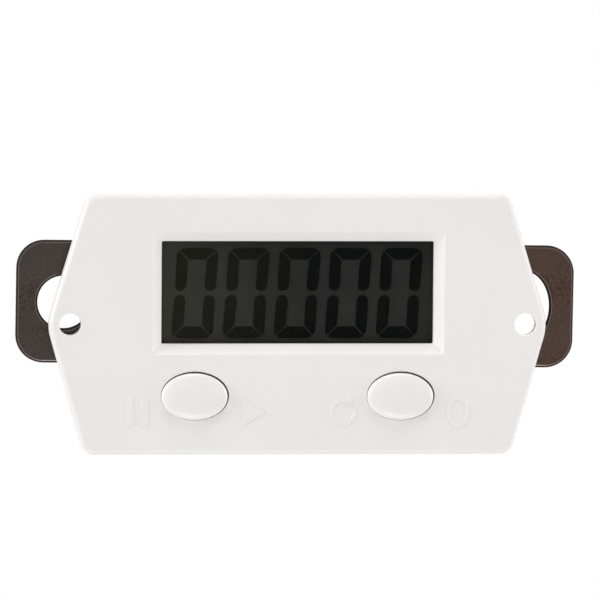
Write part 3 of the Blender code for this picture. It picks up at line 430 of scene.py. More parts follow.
class Nodes:
    """Adds nodes to one tree."""

    def __init__(self, tree):
        self.tree = tree

    def node(self, kind, settings=None, inputs=None, output=0):
        """Adds a node, with its settings first and then the values or links of its sockets."""
        made = self.tree.nodes.new(kind)
        for name, value in (settings or {}).items():
            setattr(made, name, value)
        for name, value in (inputs or {}).items():
            if isinstance(value, Value):
                self.tree.links.new(value.socket, made.inputs[name])
            else:
                made.inputs[name].default_value = value
        return Value(self, made.outputs[output]) if made.outputs else None

    def span(self, value, low, high, start, end):
        """The value's share between low and high, as a number from start to end."""
        limits = {0: value, 1: low, 2: high, 3: start, 4: end}
        return self.node("ShaderNodeMapRange", {"clamp": True}, limits)


class Finish(Nodes):
    """A material on the Principled shader, made from nodes."""

    def __init__(self, name, **fixed):
        self.material = bpy.data.materials.new(name)
        self.material.use_nodes = True
        super().__init__(self.material.node_tree)
        self.shader = self.tree.nodes["Principled BSDF"]
        for socket, value in fixed.items():
            self.set(socket.replace("_", " "), value)
        self.place = self.node("ShaderNodeTexCoord", output="Object")

    def set(self, socket, value):
        """Sets a constant on the shader's own socket, or links what varies."""
        if isinstance(value, Value):
            self.tree.links.new(value.socket, self.shader.inputs[socket])
        else:
            self.shader.inputs[socket].default_value = value

    def noise(self, scale, detail=2.0, roughness=0.5, stretch=None):
        """Noise from 0 to 1, from features per metre, detail, roughness and a stretch."""
        place = self.place
        if stretch:
            place = self.node("ShaderNodeMapping", None, {"Vector": place, "Scale": stretch})
        inputs = {"Vector": place, "Scale": scale, "Detail": detail, "Roughness": roughness}
        return self.node("ShaderNodeTexNoise", None, inputs)

    def even(self, noise, start, end):
        """Noise spread over its usual reach, as a number from start to end."""
        return self.span(noise, 0.3, 0.7, start, end)

    def cells(self, scale):
        """Distance from the middles of scattered cells."""
        return self.node("ShaderNodeTexVoronoi", None, {"Vector": self.place, "Scale": scale})

    def axis(self, name):
        """One coordinate of the surface point, in metres."""
        return self.node("ShaderNodeSeparateXYZ", None, {0: self.place}, output=name)

    def mix(self, factor, first, second):
        """A colour between two colours: inputs 6 and 7 and output 2 are the colour sockets."""
        made = {"Factor": factor, 6: first, 7: second}
        for index in (6, 7):
            if isinstance(made[index], tuple):
                made[index] = (*made[index][:3], 1.0)
        settings = {"data_type": "RGBA", "clamp_factor": True}
        return self.node("ShaderNodeMix", settings, made, output=2)

    def bump(self, height, distance, strength):
        """A normal from a height, with its depth in metres."""
        inputs = {"Height": height, "Distance": distance, "Strength": strength}
        return self.node("ShaderNodeBump", None, inputs)


def shade_of(rgb, factor):
    """The colour made lighter or darker."""
    return tuple(min(1.0, channel * factor) for channel in rgb)


def tinted(rgb, factors):
    """The colour with a factor for each channel."""
    return tuple(channel * factor for channel, factor in zip(rgb, factors))


def grey(level):
    return (level, level, level)


def moulded(name, rgb, roughness, grain=SHELL_GRAIN):
    """Moulded plastic: a fine eroded grain, slow changes of tone, and faint scuffs."""
    made = Finish(name, IOR=1.46)
    scale, relief = grain
    slow = made.noise(45.0, 3.0)
    fine = made.noise(scale, 2.0, 0.6)
    tone = made.mix(made.even(slow, 0.0, 1.0), shade_of(rgb, 0.985), shade_of(rgb, 1.012))
    speck = made.span(made.noise(scale / 3, 1.0), 0.62, 0.75, 0.0, 0.25)
    made.set("Base Color", made.mix(speck, tone, shade_of(rgb, 0.965)))
    scuff = made.noise(900.0, 4.0, 0.6, (1.0, 1.0, 0.25))
    made.set("Roughness", made.span(scuff, 0.35, 0.7, roughness - 0.04, roughness + 0.06))
    made.set("Normal", made.bump(fine, relief, 0.6))
    return made.material


def polished_strip(name, rgb, roughness):
    """Dark strip: specks, painted reflections that make it warmer at the right with lighter sheen and
    near-black patches, a painted dark reflection on the rounded rim, and a painted highlight line
    beside it.
    """
    made = Finish(name, Specular_IOR_Level=0.1)
    specks = made.noise(3400.0, 3.0, 0.75)
    dark_reflection_noise = made.noise(2300.0, 4.0, 0.8)
    patches = made.noise(128.0, 3.0, 0.6, (0.45, 1.0, 1.0))
    rim = made.node("ShaderNodeAttribute", {"attribute_name": RIM}, output="Fac")
    # Painted reflection: warmer towards the right, cooler towards the left, lighter sheen in stretched
    # patches
    painted_warm_reflection, painted_cool_reflection = tinted(rgb, (1.34, 1.02, 0.92)), tinted(rgb, (0.86, 0.98, 1.04))
    place = made.span(made.axis("X"), -REFLECTION_WARM_REACH, REFLECTION_WARM_REACH, 0.0, 0.6)
    tone = made.mix(place + made.span(patches, 0.35, 0.65, 0.0, 0.4), painted_cool_reflection, painted_warm_reflection)
    worn = made.mix(made.span(specks, 0.58, 0.74, 0.0, 0.7), tone, shade_of(rgb, 3.2))
    # Painted dark reflection: near-black patches where two noises overlap
    painted_dark_reflection = made.span(dark_reflection_noise, 0.46, 0.60, 0.0, 1.0) * made.span(patches, 0.46, 0.62, 0.0, 0.6)
    with_dark_reflections = made.mix(painted_dark_reflection, worn, shade_of(rgb, 0.22))
    # Painted highlight: a thin bright line where the flat face turns into the rounded edge
    with_edge_highlight = made.mix(made.span(rim, 0.0, 0.03, 0.0, 0.6), with_dark_reflections, shade_of(rgb, 3.6))
    # Painted dark reflection along the rounded edge, which is also made less metallic and rougher
    dark = made.span(rim, 0.045, 0.09, 0.0, 1.0)
    made.set("Base Color", made.mix(dark, with_edge_highlight, shade_of(rgb, 0.3)))
    made.set("Metallic", 1 - dark * 0.8)
    made.set("Roughness", made.even(specks, roughness - 0.05, roughness + 0.12) + dark * 0.25)
    made.set("Normal", made.bump(specks, 0.000006, 0.5))
    return made.material


def plated(name, rgb, roughness=0.26, lines=2600.0):
    """Plated metal with turning marks and a slightly uneven gloss."""
    made = Finish(name, Metallic=1.0)
    marks = made.noise(lines, 2.0, 0.6)
    cloud = made.noise(260.0, 3.0)
    tone = made.mix(made.even(cloud, 0.0, 1.0), shade_of(rgb, 0.86), shade_of(rgb, 1.08))
    made.set("Base Color", tone)
    made.set("Roughness", made.even(marks, roughness - 0.05, roughness + 0.1))
    made.set("Normal", made.bump(marks, 0.000003, 0.4))
    return made.material


def rubbery(name, rgb, roughness):
    """Rubber or silicone with a dull skin."""
    made = Finish(name, IOR=1.45)
    grainy = made.noise(3000.0, 3.0, 0.6)
    bloom = made.noise(180.0, 3.0)
    made.set("Base Color", made.mix(made.span(bloom, 0.35, 0.7, 0.0, 1.0), rgb, shade_of(rgb, 1.35)))
    made.set("Roughness", made.even(grainy, roughness - 0.06, roughness + 0.1))
    made.set("Normal", made.bump(grainy, 0.000012, 0.6))
    return made.material


def sprinkled(name, rgb, second, grain, roughness):
    """Two tones of fine specks, for ceramic, resin and carbon."""
    made = Finish(name)
    specks = made.cells(grain)
    fine = made.noise(grain * 1.7, 2.0)
    made.set("Base Color", made.mix(made.span(specks, 0.35, 0.55, 0.0, 1.0), second, rgb))
    made.set("Roughness", made.even(fine, roughness - 0.06, roughness + 0.08))
    made.set("Normal", made.bump(fine, 0.000008, 0.5))
    return made.material


def lacquered_board(name):
    """Green lacquer over copper tracks that run across or up in patches, with round pads."""
    made = Finish(name, Coat_Weight=0.3, Coat_Roughness=0.2)
    patches = {"Vector": made.place, "Scale": 130.0, "Randomness": 0.85}
    patch = made.node("ShaderNodeTexVoronoi", {"distance": "CHEBYCHEV"}, patches, output="Color")
    upright = made.node("ShaderNodeSeparateColor", None, {0: patch}).above(0.55)
    across = (made.axis("Z") * TRACK_WAVES).sine().above(0.35)
    up = (made.axis("X") * TRACK_WAVES).sine().above(0.35)
    tracks = across * (1 - upright) + up * upright
    pads = 1 - made.cells(330.0).above(0.17)
    copper = (tracks * made.noise(170.0, 1.0).above(0.46)).highest(pads)
    ground = made.mix(made.noise(400.0, 3.0), (0.010, 0.085, 0.036), (0.016, 0.12, 0.05))
    made.set("Base Color", made.mix(copper, ground, (0.045, 0.24, 0.09)))
    made.set("Roughness", made.even(made.noise(1500.0), 0.28, 0.42))
    made.set("Normal", made.bump(copper, 0.00003, 0.5))
    return made.material


def layered_strip(name):
    """Connector strip: thin conductive layers between clear silicone."""
    made = Finish(name)
    layers = (made.axis("X") * LAYER_WAVES).sine()
    made.set("Base Color", made.mix(layers.above(0.2), (0.30, 0.30, 0.31), grey(0.02)))
    made.set("Roughness", made.even(made.noise(2500.0), 0.55, 0.75))
    made.set("Normal", made.bump(layers, 0.00001, 0.4))
    return made.material


def front_film(name):
    """Dark see-through film over the display, a little olive towards the left."""
    made = Finish(name, Specular_IOR_Level=0.045, Roughness=0.22)
    tint = made.even(made.noise(60.0, 2.0), -FILM_DRIFT, FILM_DRIFT) + made.axis("X")
    tint = made.span(tint, FILM_LEFT, FILM_RIGHT, 0.0, 1.0)
    made.set("Base Color", made.mix(tint, (0.030, 0.029, 0.018), grey(0.003)))
    made.set("Alpha", made.even(made.noise(30.0), 0.24, 0.27))
    made.set("Normal", made.bump(made.noise(2200.0), 0.000002, 0.3))
    return made.material


def clear_glass(name):
    """Nearly invisible glass with a faint tint."""
    made = Finish(name, Specular_IOR_Level=0.0, Roughness=0.05)
    made.set("Base Color", made.mix(made.noise(80.0), (0.10, 0.12, 0.11), (0.14, 0.16, 0.15)))
    made.set("Alpha", made.even(made.noise(40.0), 0.03, 0.05))
    made.set("Normal", made.bump(made.noise(2400.0), 0.000001, 0.2))
    return made.material


def display_ground(name, rgb):
    """Ground of the display: olive and brightest at the left, darkest in the middle, mottled; the
    brighter sides are partly its own tone and partly painted light against the window frame's shadow.
    """
    made = Finish(name, Specular_IOR_Level=0.02)
    across = made.axis("X")
    # Brighter left and right: partly painted light that makes up for the window frame's shadow near
    # the edges
    left, middle = tinted(rgb, (1.40, 1.42, 1.28)), tinted(rgb, (0.88, 0.88, 0.90))
    half = made.mix(made.span(across, *GROUND_LEFT, 0.0, 1.0), left, middle)
    right = tinted(rgb, grey(1.05))
    whole = made.mix(made.span(across, *GROUND_RIGHT, 0.0, 1.0), half, right)
    mottle = made.span(made.noise(320.0, 3.0), 0.35, 0.7, 0.0, 0.3)
    made.set("Base Color", made.mix(mottle, whole, shade_of(rgb, 1.3)))
    made.set("Roughness", made.even(made.noise(900.0), 0.34, 0.46))
    made.set("Normal", made.bump(made.noise(3000.0), 0.000003, 0.3))
    return made.material


def digit_ink(name, rgb):
    """The dark of a segment that is switched on."""
    made = Finish(name, Specular_IOR_Level=0.01)
    made.set("Base Color", made.mix(made.noise(900.0), rgb, shade_of(rgb, 2.0)))
    made.set("Roughness", made.even(made.noise(1400.0), 0.4, 0.5))
    made.set("Normal", made.bump(made.noise(3000.0), 0.000002, 0.3))
    return made.material


def dull_foil(name):
    """Crinkled foil of the reflector."""
    made = Finish(name, Metallic=0.6)
    crinkle = made.cells(1600.0)
    made.set("Base Color", made.mix(crinkle, (0.30, 0.30, 0.28), (0.42, 0.42, 0.40)))
    made.set("Roughness", made.span(crinkle, 0.0, 0.6, 0.35, 0.5))
    made.set("Normal", made.bump(crinkle, 0.000006, 0.5))
    return made.material


def studio_white(name, rgb):
    """Pale floor under the counter, which keeps its shadow and fades into the white round it."""
    made = Finish(name, Roughness=0.7, Specular_IOR_Level=0.1)
    made.set("Base Color", made.mix(made.noise(9.0), rgb, shade_of(rgb, 1.01)))
    across, along = made.axis("X"), made.axis("Y")
    made.set("Alpha", made.span(across * across + along * along, *FLOOR_FADE, 1.0, 0.0))
    return made.material


# Mesh tools


def new_object(name, mesh):
    made = bpy.data.objects.new(name, mesh)
    bpy.context.scene.collection.objects.link(made)
    return made


def baked(piece):
    """Turns a piece with its modifiers into a plain mesh."""
    bpy.context.view_layer.update()
    graph = bpy.context.evaluated_depsgraph_get()
    mesh = bpy.data.meshes.new_from_object(piece.evaluated_get(graph))
    piece.modifiers.clear()
    piece.data = mesh
    return piece


def remove(*pieces):
    for piece in pieces:
        bpy.data.objects.remove(piece, do_unlink=True)


def mesh_from(name, build):
    """A mesh made by a function that fills a bmesh."""
    shape = bmesh.new()
    build(shape)
    bmesh.ops.remove_doubles(shape, verts=shape.verts, dist=WELD)
    bmesh.ops.recalc_face_normals(shape, faces=shape.faces)
    mesh = bpy.data.meshes.new(name)
    shape.to_mesh(mesh)
    shape.free()
    return mesh


def quarter(steps):
    """Sine and cosine at even steps over a quarter turn."""
    angles = [QUARTER * k / steps for k in range(steps + 1)]
    return [(math.sin(angle), math.cos(angle)) for angle in angles]


def rounded(corners, radii, inset=0.0, steps=CORNER_STEPS):
    """The outline through the corners, each turned with its radius and drawn in by an inset."""
    outline = []
    for i, (place, radius) in enumerate(zip(corners, radii)):
        corner = Vector(place)
        before = (Vector(corners[i - 1]) - corner).normalized()
        after = (Vector(corners[(i + 1) % len(corners)]) - corner).normalized()
        half = before.angle(after) / 2
        middle = corner + (before + after).normalized() * (radius / math.sin(half))
        first = corner + before * (radius / math.tan(half)) - middle
        last = corner + after * (radius / math.tan(half)) - middle
        start = math.atan2(first.y, first.x)
        sweep = math.atan2(last.y, last.x) - start
        sweep = (sweep + math.pi) % math.tau - math.pi
        for k in range(steps + 1):
            angle = start + sweep * k / steps
            reach = radius - inset
            outline.append((middle.x + reach * math.cos(angle), middle.y + reach * math.sin(angle)))
    return outline


def rectangle(half_wide, half_high, across=0.0, up=0.0):
    return [
        (across - half_wide, up - half_high),
        (across + half_wide, up - half_high),
        (across + half_wide, up + half_high),
        (across - half_wide, up + half_high),
    ]


def oval(half_wide, half_high, across=0.0, up=0.0, steps=OVAL_STEPS):
    return [
        (
            across + half_wide * math.cos(math.tau * k / steps),
            up + half_high * math.sin(math.tau * k / steps),
        )
        for k in range(steps)
    ]


def circle(radius, across=0.0, up=0.0, steps=CIRCLE_STEPS):
    return oval(radius, radius, across, up, steps)


def ring_of(points, y):
    return [(x, y, z) for x, z in points]


def lofted(name, rings, closed=True):
    """A solid through rings of equally many points."""

    def build(shape):
        rows = [[shape.verts.new(point) for point in ring] for ring in rings]
        count = len(rows[0])
        for front, back in zip(rows, rows[1:]):
            for i in range(count):
                j = (i + 1) % count
                shape.faces.new((front[i], front[j], back[j], back[i]))
        if closed:
            shape.faces.new(rows[0])
            shape.faces.new(rows[-1])

    return new_object(name, mesh_from(name, build))


def rod(name, radius, front, back, across, up, steps=CIRCLE_STEPS):
    """A round bar along Y."""
    rings = [ring_of(circle(radius, across, up, steps), y) for y in (front, back)]
    return lofted(name, rings)


def rods(name, radius, front, back, places, steps=ROD_STEPS):
    """Like rods at several places."""
    return [rod(f"{name}_{i}", radius, front, back, x, z, steps) for i, (x, z) in enumerate(places)]


def turned(name, profile, centre, steps=CIRCLE_STEPS):
    """A profile of radius and depth turned about a line along Y through the centre."""
    rings = []
    for radius, depth in profile:
        reach = max(radius, WELD / 4)
        rings.append(ring_of(circle(reach, centre[0], centre[2], steps), depth))
    hollow = profile[0][0] > WELD and profile[-1][0] > WELD and profile[0] != profile[-1]
    if hollow:
        rings.append(rings[0])
    return lofted(name, rings, closed=False)


def block(name, low, high):
    """A box between two corners."""

    def build(shape):
        bmesh.ops.create_cube(shape, size=1)
        bmesh.ops.scale(shape, vec=Vector(high) - Vector(low), verts=shape.verts)
        bmesh.ops.translate(shape, vec=(Vector(high) + Vector(low)) / 2, verts=shape.verts)

    return new_object(name, mesh_from(name, build))


def combine(target, tools, operation):
    """A Boolean of the target with each tool in turn, after which the tools are gone."""
    for tool in tools:
        step = target.modifiers.new(operation, "BOOLEAN")
        step.operation = operation
        step.solver = "EXACT"
        step.object = tool
    baked(target)
    remove(*tools)
    return target


def join(target, *tools):
    return combine(target, tools, "UNION")


def cut(target, *tools):
    return combine(target, tools, "DIFFERENCE")


def flare(edge, steps=FLARE_STEPS):
    """A quarter round as pairs of growth and depth, from the face inwards."""
    return [(edge * (1 - sine), edge * (1 - cosine)) for sine, cosine in quarter(steps)]


def finished(piece, finish, body, replaced=(), angle=SHARP_ANGLE, even=True):
    """Gives a piece its shading and material, hangs it on its body, and hides the nodes it stands for.
    """
    mesh = piece.data
    mesh.materials.clear()
    mesh.materials.append(finish)
    mesh.shade_smooth()
    mesh.set_sharp_from_angle(angle=math.radians(angle))
    if even:
        step = piece.modifiers.new("even_normals", "WEIGHTED_NORMAL")
        step.keep_sharp = True
        step.weight = NORMAL_WEIGHT
        baked(piece)
    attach(piece, body)
    if replaced:
        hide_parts(*replaced)
    return piece


def joined(name, pieces):
    """Several loose solids as one mesh, without a Boolean."""
    shape = bmesh.new()
    for piece in pieces:
        shape.from_mesh(piece.data)
    mesh = bpy.data.meshes.new(name)
    shape.to_mesh(mesh)
    shape.free()
    remove(*pieces)
    return new_object(name, mesh)


# Geometry nodes

# Spread of the copies until an input is set
SPREAD = 0.01


def new_tree(name, numbers):
    """A geometry tree with a mesh input, a material input and named numbers."""
    tree = bpy.data.node_groups.new(name, "GeometryNodeTree")
    tree.interface.new_socket(name="Piece", in_out="INPUT", socket_type="NodeSocketGeometry")
    for label, kind, default in numbers:
        made = tree.interface.new_socket(name=label, in_out="INPUT", socket_type=kind)
        made.default_value = default
    tree.interface.new_socket(name="Finish", in_out="INPUT", socket_type="NodeSocketMaterial")
    tree.interface.new_socket(name="Result", in_out="OUTPUT", socket_type="NodeSocketGeometry")
    return tree


def copies_tree(name, points_kind):
    """Copies of the piece on the points of a row or a grid, realised and given a material."""
    grid = points_kind == "grid"
    across, up = (("Across", "NodeSocketFloat", SPREAD), ("Up", "NodeSocketFloat", SPREAD))
    count = ("Count", "NodeSocketInt", DIGITS)
    place = ("Place", "NodeSocketVector", (0.0, 0.0, 0.0))
    tree = new_tree(name, [across, up if grid else count, place])
    nodes = Nodes(tree)

    def given(label):
        return nodes.node("NodeGroupInput", output=label)

    if grid:
        spread = {"Size X": given("Across"), "Size Y": given("Up")}
        spread.update({"Vertices X": 2, "Vertices Y": 2})
        points = nodes.node("GeometryNodeMeshGrid", None, spread)
        rotation = (QUARTER, 0.0, 0.0)
    else:
        step = nodes.node("ShaderNodeCombineXYZ", None, {"X": given("Across")})
        spread = {"Count": given("Count"), "Offset": step}
        points = nodes.node("GeometryNodeMeshLine", {"mode": "OFFSET"}, spread)
        rotation = (0.0, 0.0, 0.0)
    move = {"Geometry": points, "Translation": given("Place"), "Rotation": rotation}
    placed = nodes.node("GeometryNodeTransform", None, move)
    copied = {"Points": placed, "Instance": given("Piece")}
    copies = nodes.node("GeometryNodeInstanceOnPoints", None, copied)
    real = nodes.node("GeometryNodeRealizeInstances", None, {"Geometry": copies})
    coat = {"Geometry": real, "Material": given("Finish")}
    coated = nodes.node("GeometryNodeSetMaterial", None, coat)
    nodes.node("NodeGroupOutput", None, {"Result": coated})
    return tree


def run_tree(piece, tree, values):
    """Puts the tree on a piece, sets its inputs by identifier, and bakes the result."""
    step = piece.modifiers.new(tree.name, "NODES")
    step.node_group = tree
    for item in tree.interface.items_tree:
        if item.in_out == "INPUT" and item.name in values:
            step[item.identifier] = values[item.name]
    return baked(piece)


# Pieces


def plate_corners():
    """The plate's six corners before they are rounded, from the right tip upwards."""
    size = sizes()
    half_top = COVER_HIGH.x + size.plate_shoulder
    half_foot = half_top + size.plate_foot_extra / 2
    slope = math.atan2(PLATE_HIGH.x - half_top, PLATE_HIGH.z)
    tip = PLATE_HIGH.x + size.plate_tip * (1 / math.cos(slope) - 1)
    return [
        (tip, 0.0),
        (half_top, PLATE_HIGH.z),
        (-half_top, PLATE_HIGH.z),
        (-tip, 0.0),
        (-half_foot, PLATE_LOW.z),
        (half_foot, PLATE_LOW.z),
    ]


def body_corners(inset):
    half_wide = COVER_HIGH.x - inset
    half_high = (COVER_HIGH.z - COVER_LOW.z) / 2 - inset
    return rectangle(half_wide, half_high, 0.0, (COVER_LOW.z + COVER_HIGH.z) / 2)


def body_rings(spans, inset=0.0):
    """Rings round the body, from pairs of extra inset and depth."""
    size = sizes()
    radius = max(size.body_corner - inset, size.wall / 2)
    corners = body_corners(inset)
    return [ring_of(rounded(corners, [radius] * 4, grow), y) for grow, y in spans]


def window_cutter():
    """The window with its sloping border, the border's edges softened."""
    size = sizes()
    front = -size.plate_thickness
    edge = size.edge_round
    slope = Vector((size.bezel_width, size.bezel_depth)).normalized()
    outer = Vector((size.bezel_width, front))
    inner = Vector((0.0, front + size.bezel_depth))
    bends = (
        (outer + Vector((edge, 0.0)), outer, outer + Vector((-slope.x, slope.y)) * edge),
        (inner + Vector((slope.x, -slope.y)) * edge, inner, inner + Vector((0.0, edge))),
    )
    spans = [(size.bezel_width + edge, front - OVERRUN)]
    for start, middle, end in bends:
        for k in range(BORDER_STEPS + 1):
            t = k / BORDER_STEPS
            point = start * (1 - t) ** 2 + middle * (2 * t * (1 - t)) + end * t * t
            spans.append(tuple(point))
    spans.append((0.0, OVERRUN))
    rings = []
    for grow, y in spans:
        half = (size.window_width / 2 + grow, size.window_height / 2 + grow)
        corners = rectangle(*half, 0.0, size.window_raise)
        rings.append(ring_of(rounded(corners, [size.window_corner] * 4, 0.0, BORDER_STEPS), y))
    return lofted("window", rings)


def aperture_cutter(name, half, place):
    """An oval hole through the plate with a softened rim."""
    size = sizes()
    front = -size.plate_thickness
    spans = [(size.edge_round, front - OVERRUN)]
    spans += [(grow, front + depth) for grow, depth in flare(size.edge_round)]
    spans.append((0.0, OVERRUN))
    rings = [ring_of(oval(half[0] + grow, half[1] + grow, *place), y) for grow, y in spans]
    return lofted(name, rings)


def button_places():
    return {"pause": middle_of("pause_button"), "reset": middle_of("reset_button")}


def post_places():
    return [(side * POST.x, up) for side in (-1, 1) for up in (POST.z, POST_BOTTOM.z)]


def board_screw_places():
    return [(side * BOARD_SCREW.x, BOARD_SCREW.z) for side in (-1, 1)]


def front_housing():
    """Plate with its rounded front edge, the box behind it, posts and every opening."""
    size = sizes()
    corners = plate_corners()
    radii = [size.plate_corner] * len(corners)
    radii[0] = radii[3] = size.plate_tip
    front, back = -size.plate_thickness, PLATE_HIGH.y
    spans = [
        (size.plate_fillet * (1 - cosine), front + size.plate_fillet * (1 - sine))
        for sine, cosine in reversed(quarter(FILLET_STEPS))
    ]
    spans += [(0.0, -size.seam), (size.seam, 0.0)]
    plate = lofted("front_shell", [ring_of(rounded(corners, radii, inset), y) for inset, y in spans])
    outside = [(0.0, -BITE), (0.0, back - size.seam), (size.seam, back)]
    join(plate, lofted("box_outside", body_rings(outside)))
    inside = [(0.0, 0.0), (0.0, back + OVERRUN)]
    cut(plate, lofted("box_hollow", body_rings(inside, size.wall)))
    posts, board_posts = post_places(), board_screw_places()
    post_span = (-BITE, BOARD_LOW.y - BITE / 4)
    join(plate, *rods("post", POST_RADIUS, *post_span, posts + board_posts))
    rib_top = size.window_raise - spread_of("lcd_front_glass").z / 2 - RIB_GAP
    rib_low = (-RIB_HALF_LENGTH, -BITE, rib_top - RIB_THICKNESS)
    join(plate, block("display_rib", rib_low, (RIB_HALF_LENGTH, RIB_BACK, rib_top)))
    pilots = rods("pilot", PILOT_RADIUS, 0.0, PILOT_DEPTH, posts, PILOT_STEPS)
    pilots += rods("board_pilot", BOARD_PILOT_RADIUS, 0.0, PILOT_DEPTH, board_posts, PILOT_STEPS)
    cut(plate, *pilots)
    cutters = [window_cutter()]
    half = (size.button_width / 2 + size.button_gap, size.button_height / 2 + size.button_gap)
    for name, place in button_places().items():
        cutters.append(aperture_cutter(name + "_aperture", half, (place.x, place.z)))
    hole = size.plate_hole / 2
    for side in (-1, 1):
        across = side * (PLATE_HIGH.x - size.plate_hole_inset)
        cutters.append(aperture_cutter(f"screw_hole_{side}", (hole, hole), (across, 0.0)))
    cut(plate, *cutters)
    material = moulded("warm_white_shell", colour_of("shell"), roughness=0.46)
    finished(plate, material, "housing", ["front_housing"])


def symbol_outlines():
    """Two bars and a triangle beside the pause button."""
    place = button_places()["pause"]
    up = place.z - SIGN_DROP
    left, right = place.x - SIGN_REACH, place.x + SIGN_REACH
    bars = [rectangle(BAR_HALF, SIGN_HALF, left + shift, up) for shift in (-BAR_SHIFT, BAR_SHIFT)]
    triangle = [
        (right - TRIANGLE_BACK, up - SIGN_HALF),
        (right + TRIANGLE_TIP, up),
        (right - TRIANGLE_BACK, up + SIGN_HALF),
    ]
    return bars + [triangle]


def sign_edge():
    """Pairs of inset and depth over a sign's soft edge, from inside the plate to its face."""
    front = -sizes().plate_thickness
    return [(0.0, front + BITE), (0.0, front), (SIGN_EDGE, front - SIGN_HEIGHT)]


def band_section(inner, outer):
    """Pairs of reach and depth round the section of a raised band."""
    edge = sign_edge()
    inside = [(inner + inset, y) for inset, y in edge]
    return inside + [(outer - inset, y) for inset, y in reversed(edge)]


def raised_sign(name, outline):
    """A flat sign that stands a little proud of the plate, with a soft edge."""
    centre = Vector((sum(x for x, _ in outline), sum(z for _, z in outline))) / len(outline)
    rings = []
    for inset, y in sign_edge():
        ring = []
        for point in outline:
            out = Vector(point) - centre
            out = out * (1 - inset / max(out.length, SIGN_EDGE))
            ring.append((centre.x + out.x, y, centre.y + out.y))
        rings.append(ring)
    return lofted(name, rings)


def arc_sign(name, across, up, radius, start, end):
    """A band round part of a circle, standing a little proud of the plate."""
    section = band_section(radius - BAND_WIDTH / 2, radius + BAND_WIDTH / 2)
    rows = []
    for k in range(SIGN_STEPS + 1):
        angle = start + (end - start) * k / SIGN_STEPS
        side, rise = math.cos(angle), math.sin(angle)
        rows.append([(across + reach * side, y, up + reach * rise) for reach, y in section])
    return lofted(name, rows)


def oval_band(name, across, up, half_wide, half_high):
    """A closed oval band that stands a little proud of the plate."""
    section = band_section(-BAND_WIDTH / 2, BAND_WIDTH / 2)
    rings = [
        ring_of(oval(half_wide + grow, half_high + grow, across, up, SIGN_STEPS), y)
        for grow, y in section + section[:1]
    ]
    return lofted(name, rings, closed=False)


def moulded_signs():
    """The plain signs, as one thin raised piece on the plate."""
    solids = [raised_sign(f"sign_{i}", outline) for i, outline in enumerate(symbol_outlines())]
    reset = button_places()["reset"]
    across, up = reset.x - SIGN_REACH, reset.z - SIGN_DROP
    radius = SIGN_HALF - TURN_INSET
    solids.append(arc_sign("turn_sign", across, up, radius, TURN_START, TURN_END))
    side, rise = math.cos(TURN_START), math.sin(TURN_START)
    tip = Vector((across + radius * side, up + radius * rise))
    along, out = Vector((rise, -side)), Vector((side, rise))
    head = [tip + along * ARROW_LENGTH, tip + out * ARROW_HALF, tip - out * ARROW_HALF]
    solids.append(raised_sign("turn_head", head))
    solids.append(oval_band("zero_sign", reset.x + SIGN_REACH, up, NOUGHT_HALF, SIGN_HALF))
    piece = joined("moulded_signs", solids)
    material = moulded("warm_white_signs", colour_of("shell"), roughness=0.42)
    finished(piece, material, "housing", even=False)


def cover_cutters():
    """Ways of the insert, screws and cable, notches in the lip, and the drawer's recess and slot."""
    size = sizes()
    back, inside, low = COVER_HIGH.y, COVER_HIGH.y - size.wall, COVER_LOW.z
    insert = spread_of("clamp_insert").x / 2 + INSERT_PLAY
    cutters = [rod("insert_way", insert, BOARD_HIGH.y, back + OVERRUN, 0.0, CLAMP_SCREW.z)]
    seat_radius = spread_of("housing_screw_top_right").x / 2 + FIT
    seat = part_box("housing_screw_top_right")[1].y - COVER_HEAD - FIT
    spans = [(0.0, seat), (0.0, back - size.edge_round)]
    spans += [(grow, back - depth) for grow, depth in reversed(flare(size.edge_round))]
    spans.append((size.edge_round, back + OVERRUN))
    for i, (x, z) in enumerate(post_places()):
        cutters.append(rod(f"screw_way_{i}", PILOT_RADIUS, 0.0, back, x, z, ROD_STEPS))
        rings = [ring_of(circle(seat_radius + grow, x, z), y) for grow, y in spans]
        cutters.append(lofted(f"screw_seat_{i}", rings))
    notch_back = BOARD_HIGH.y + NOTCH_OVER_BOARD
    cutters += rods("lip_notch", NOTCH_RADIUS, 0.0, notch_back, board_screw_places())
    half_deep = (DRAWER_HIGH.y - DRAWER_LOW.y) / 2
    handle = ((DRAWER_HIGH.x - DRAWER_LOW.x) / 2 + FIT, half_deep + FIT)
    slot = (CELL_SIZE.x / 2 + SLOT_MARGIN, CELL_SIZE.y / 2 + FIT)
    for name, (wide, deep), top in (
        ("handle_recess", handle, low + HANDLE_RECESS),
        ("drawer_slot", slot, low + size.wall + BITE),
    ):
        corner = (CELL.x - wide, CELL.y - deep, low - OVERRUN)
        cutters.append(block(name, corner, (CELL.x + wide, CELL.y + deep, top)))
    span = (inside - OVERRUN, back + OVERRUN)
    cutters.append(rod("cable_hole", CABLE_HOLE_RADIUS, *span, GROMMET.x, GROMMET.z))
    return cutters


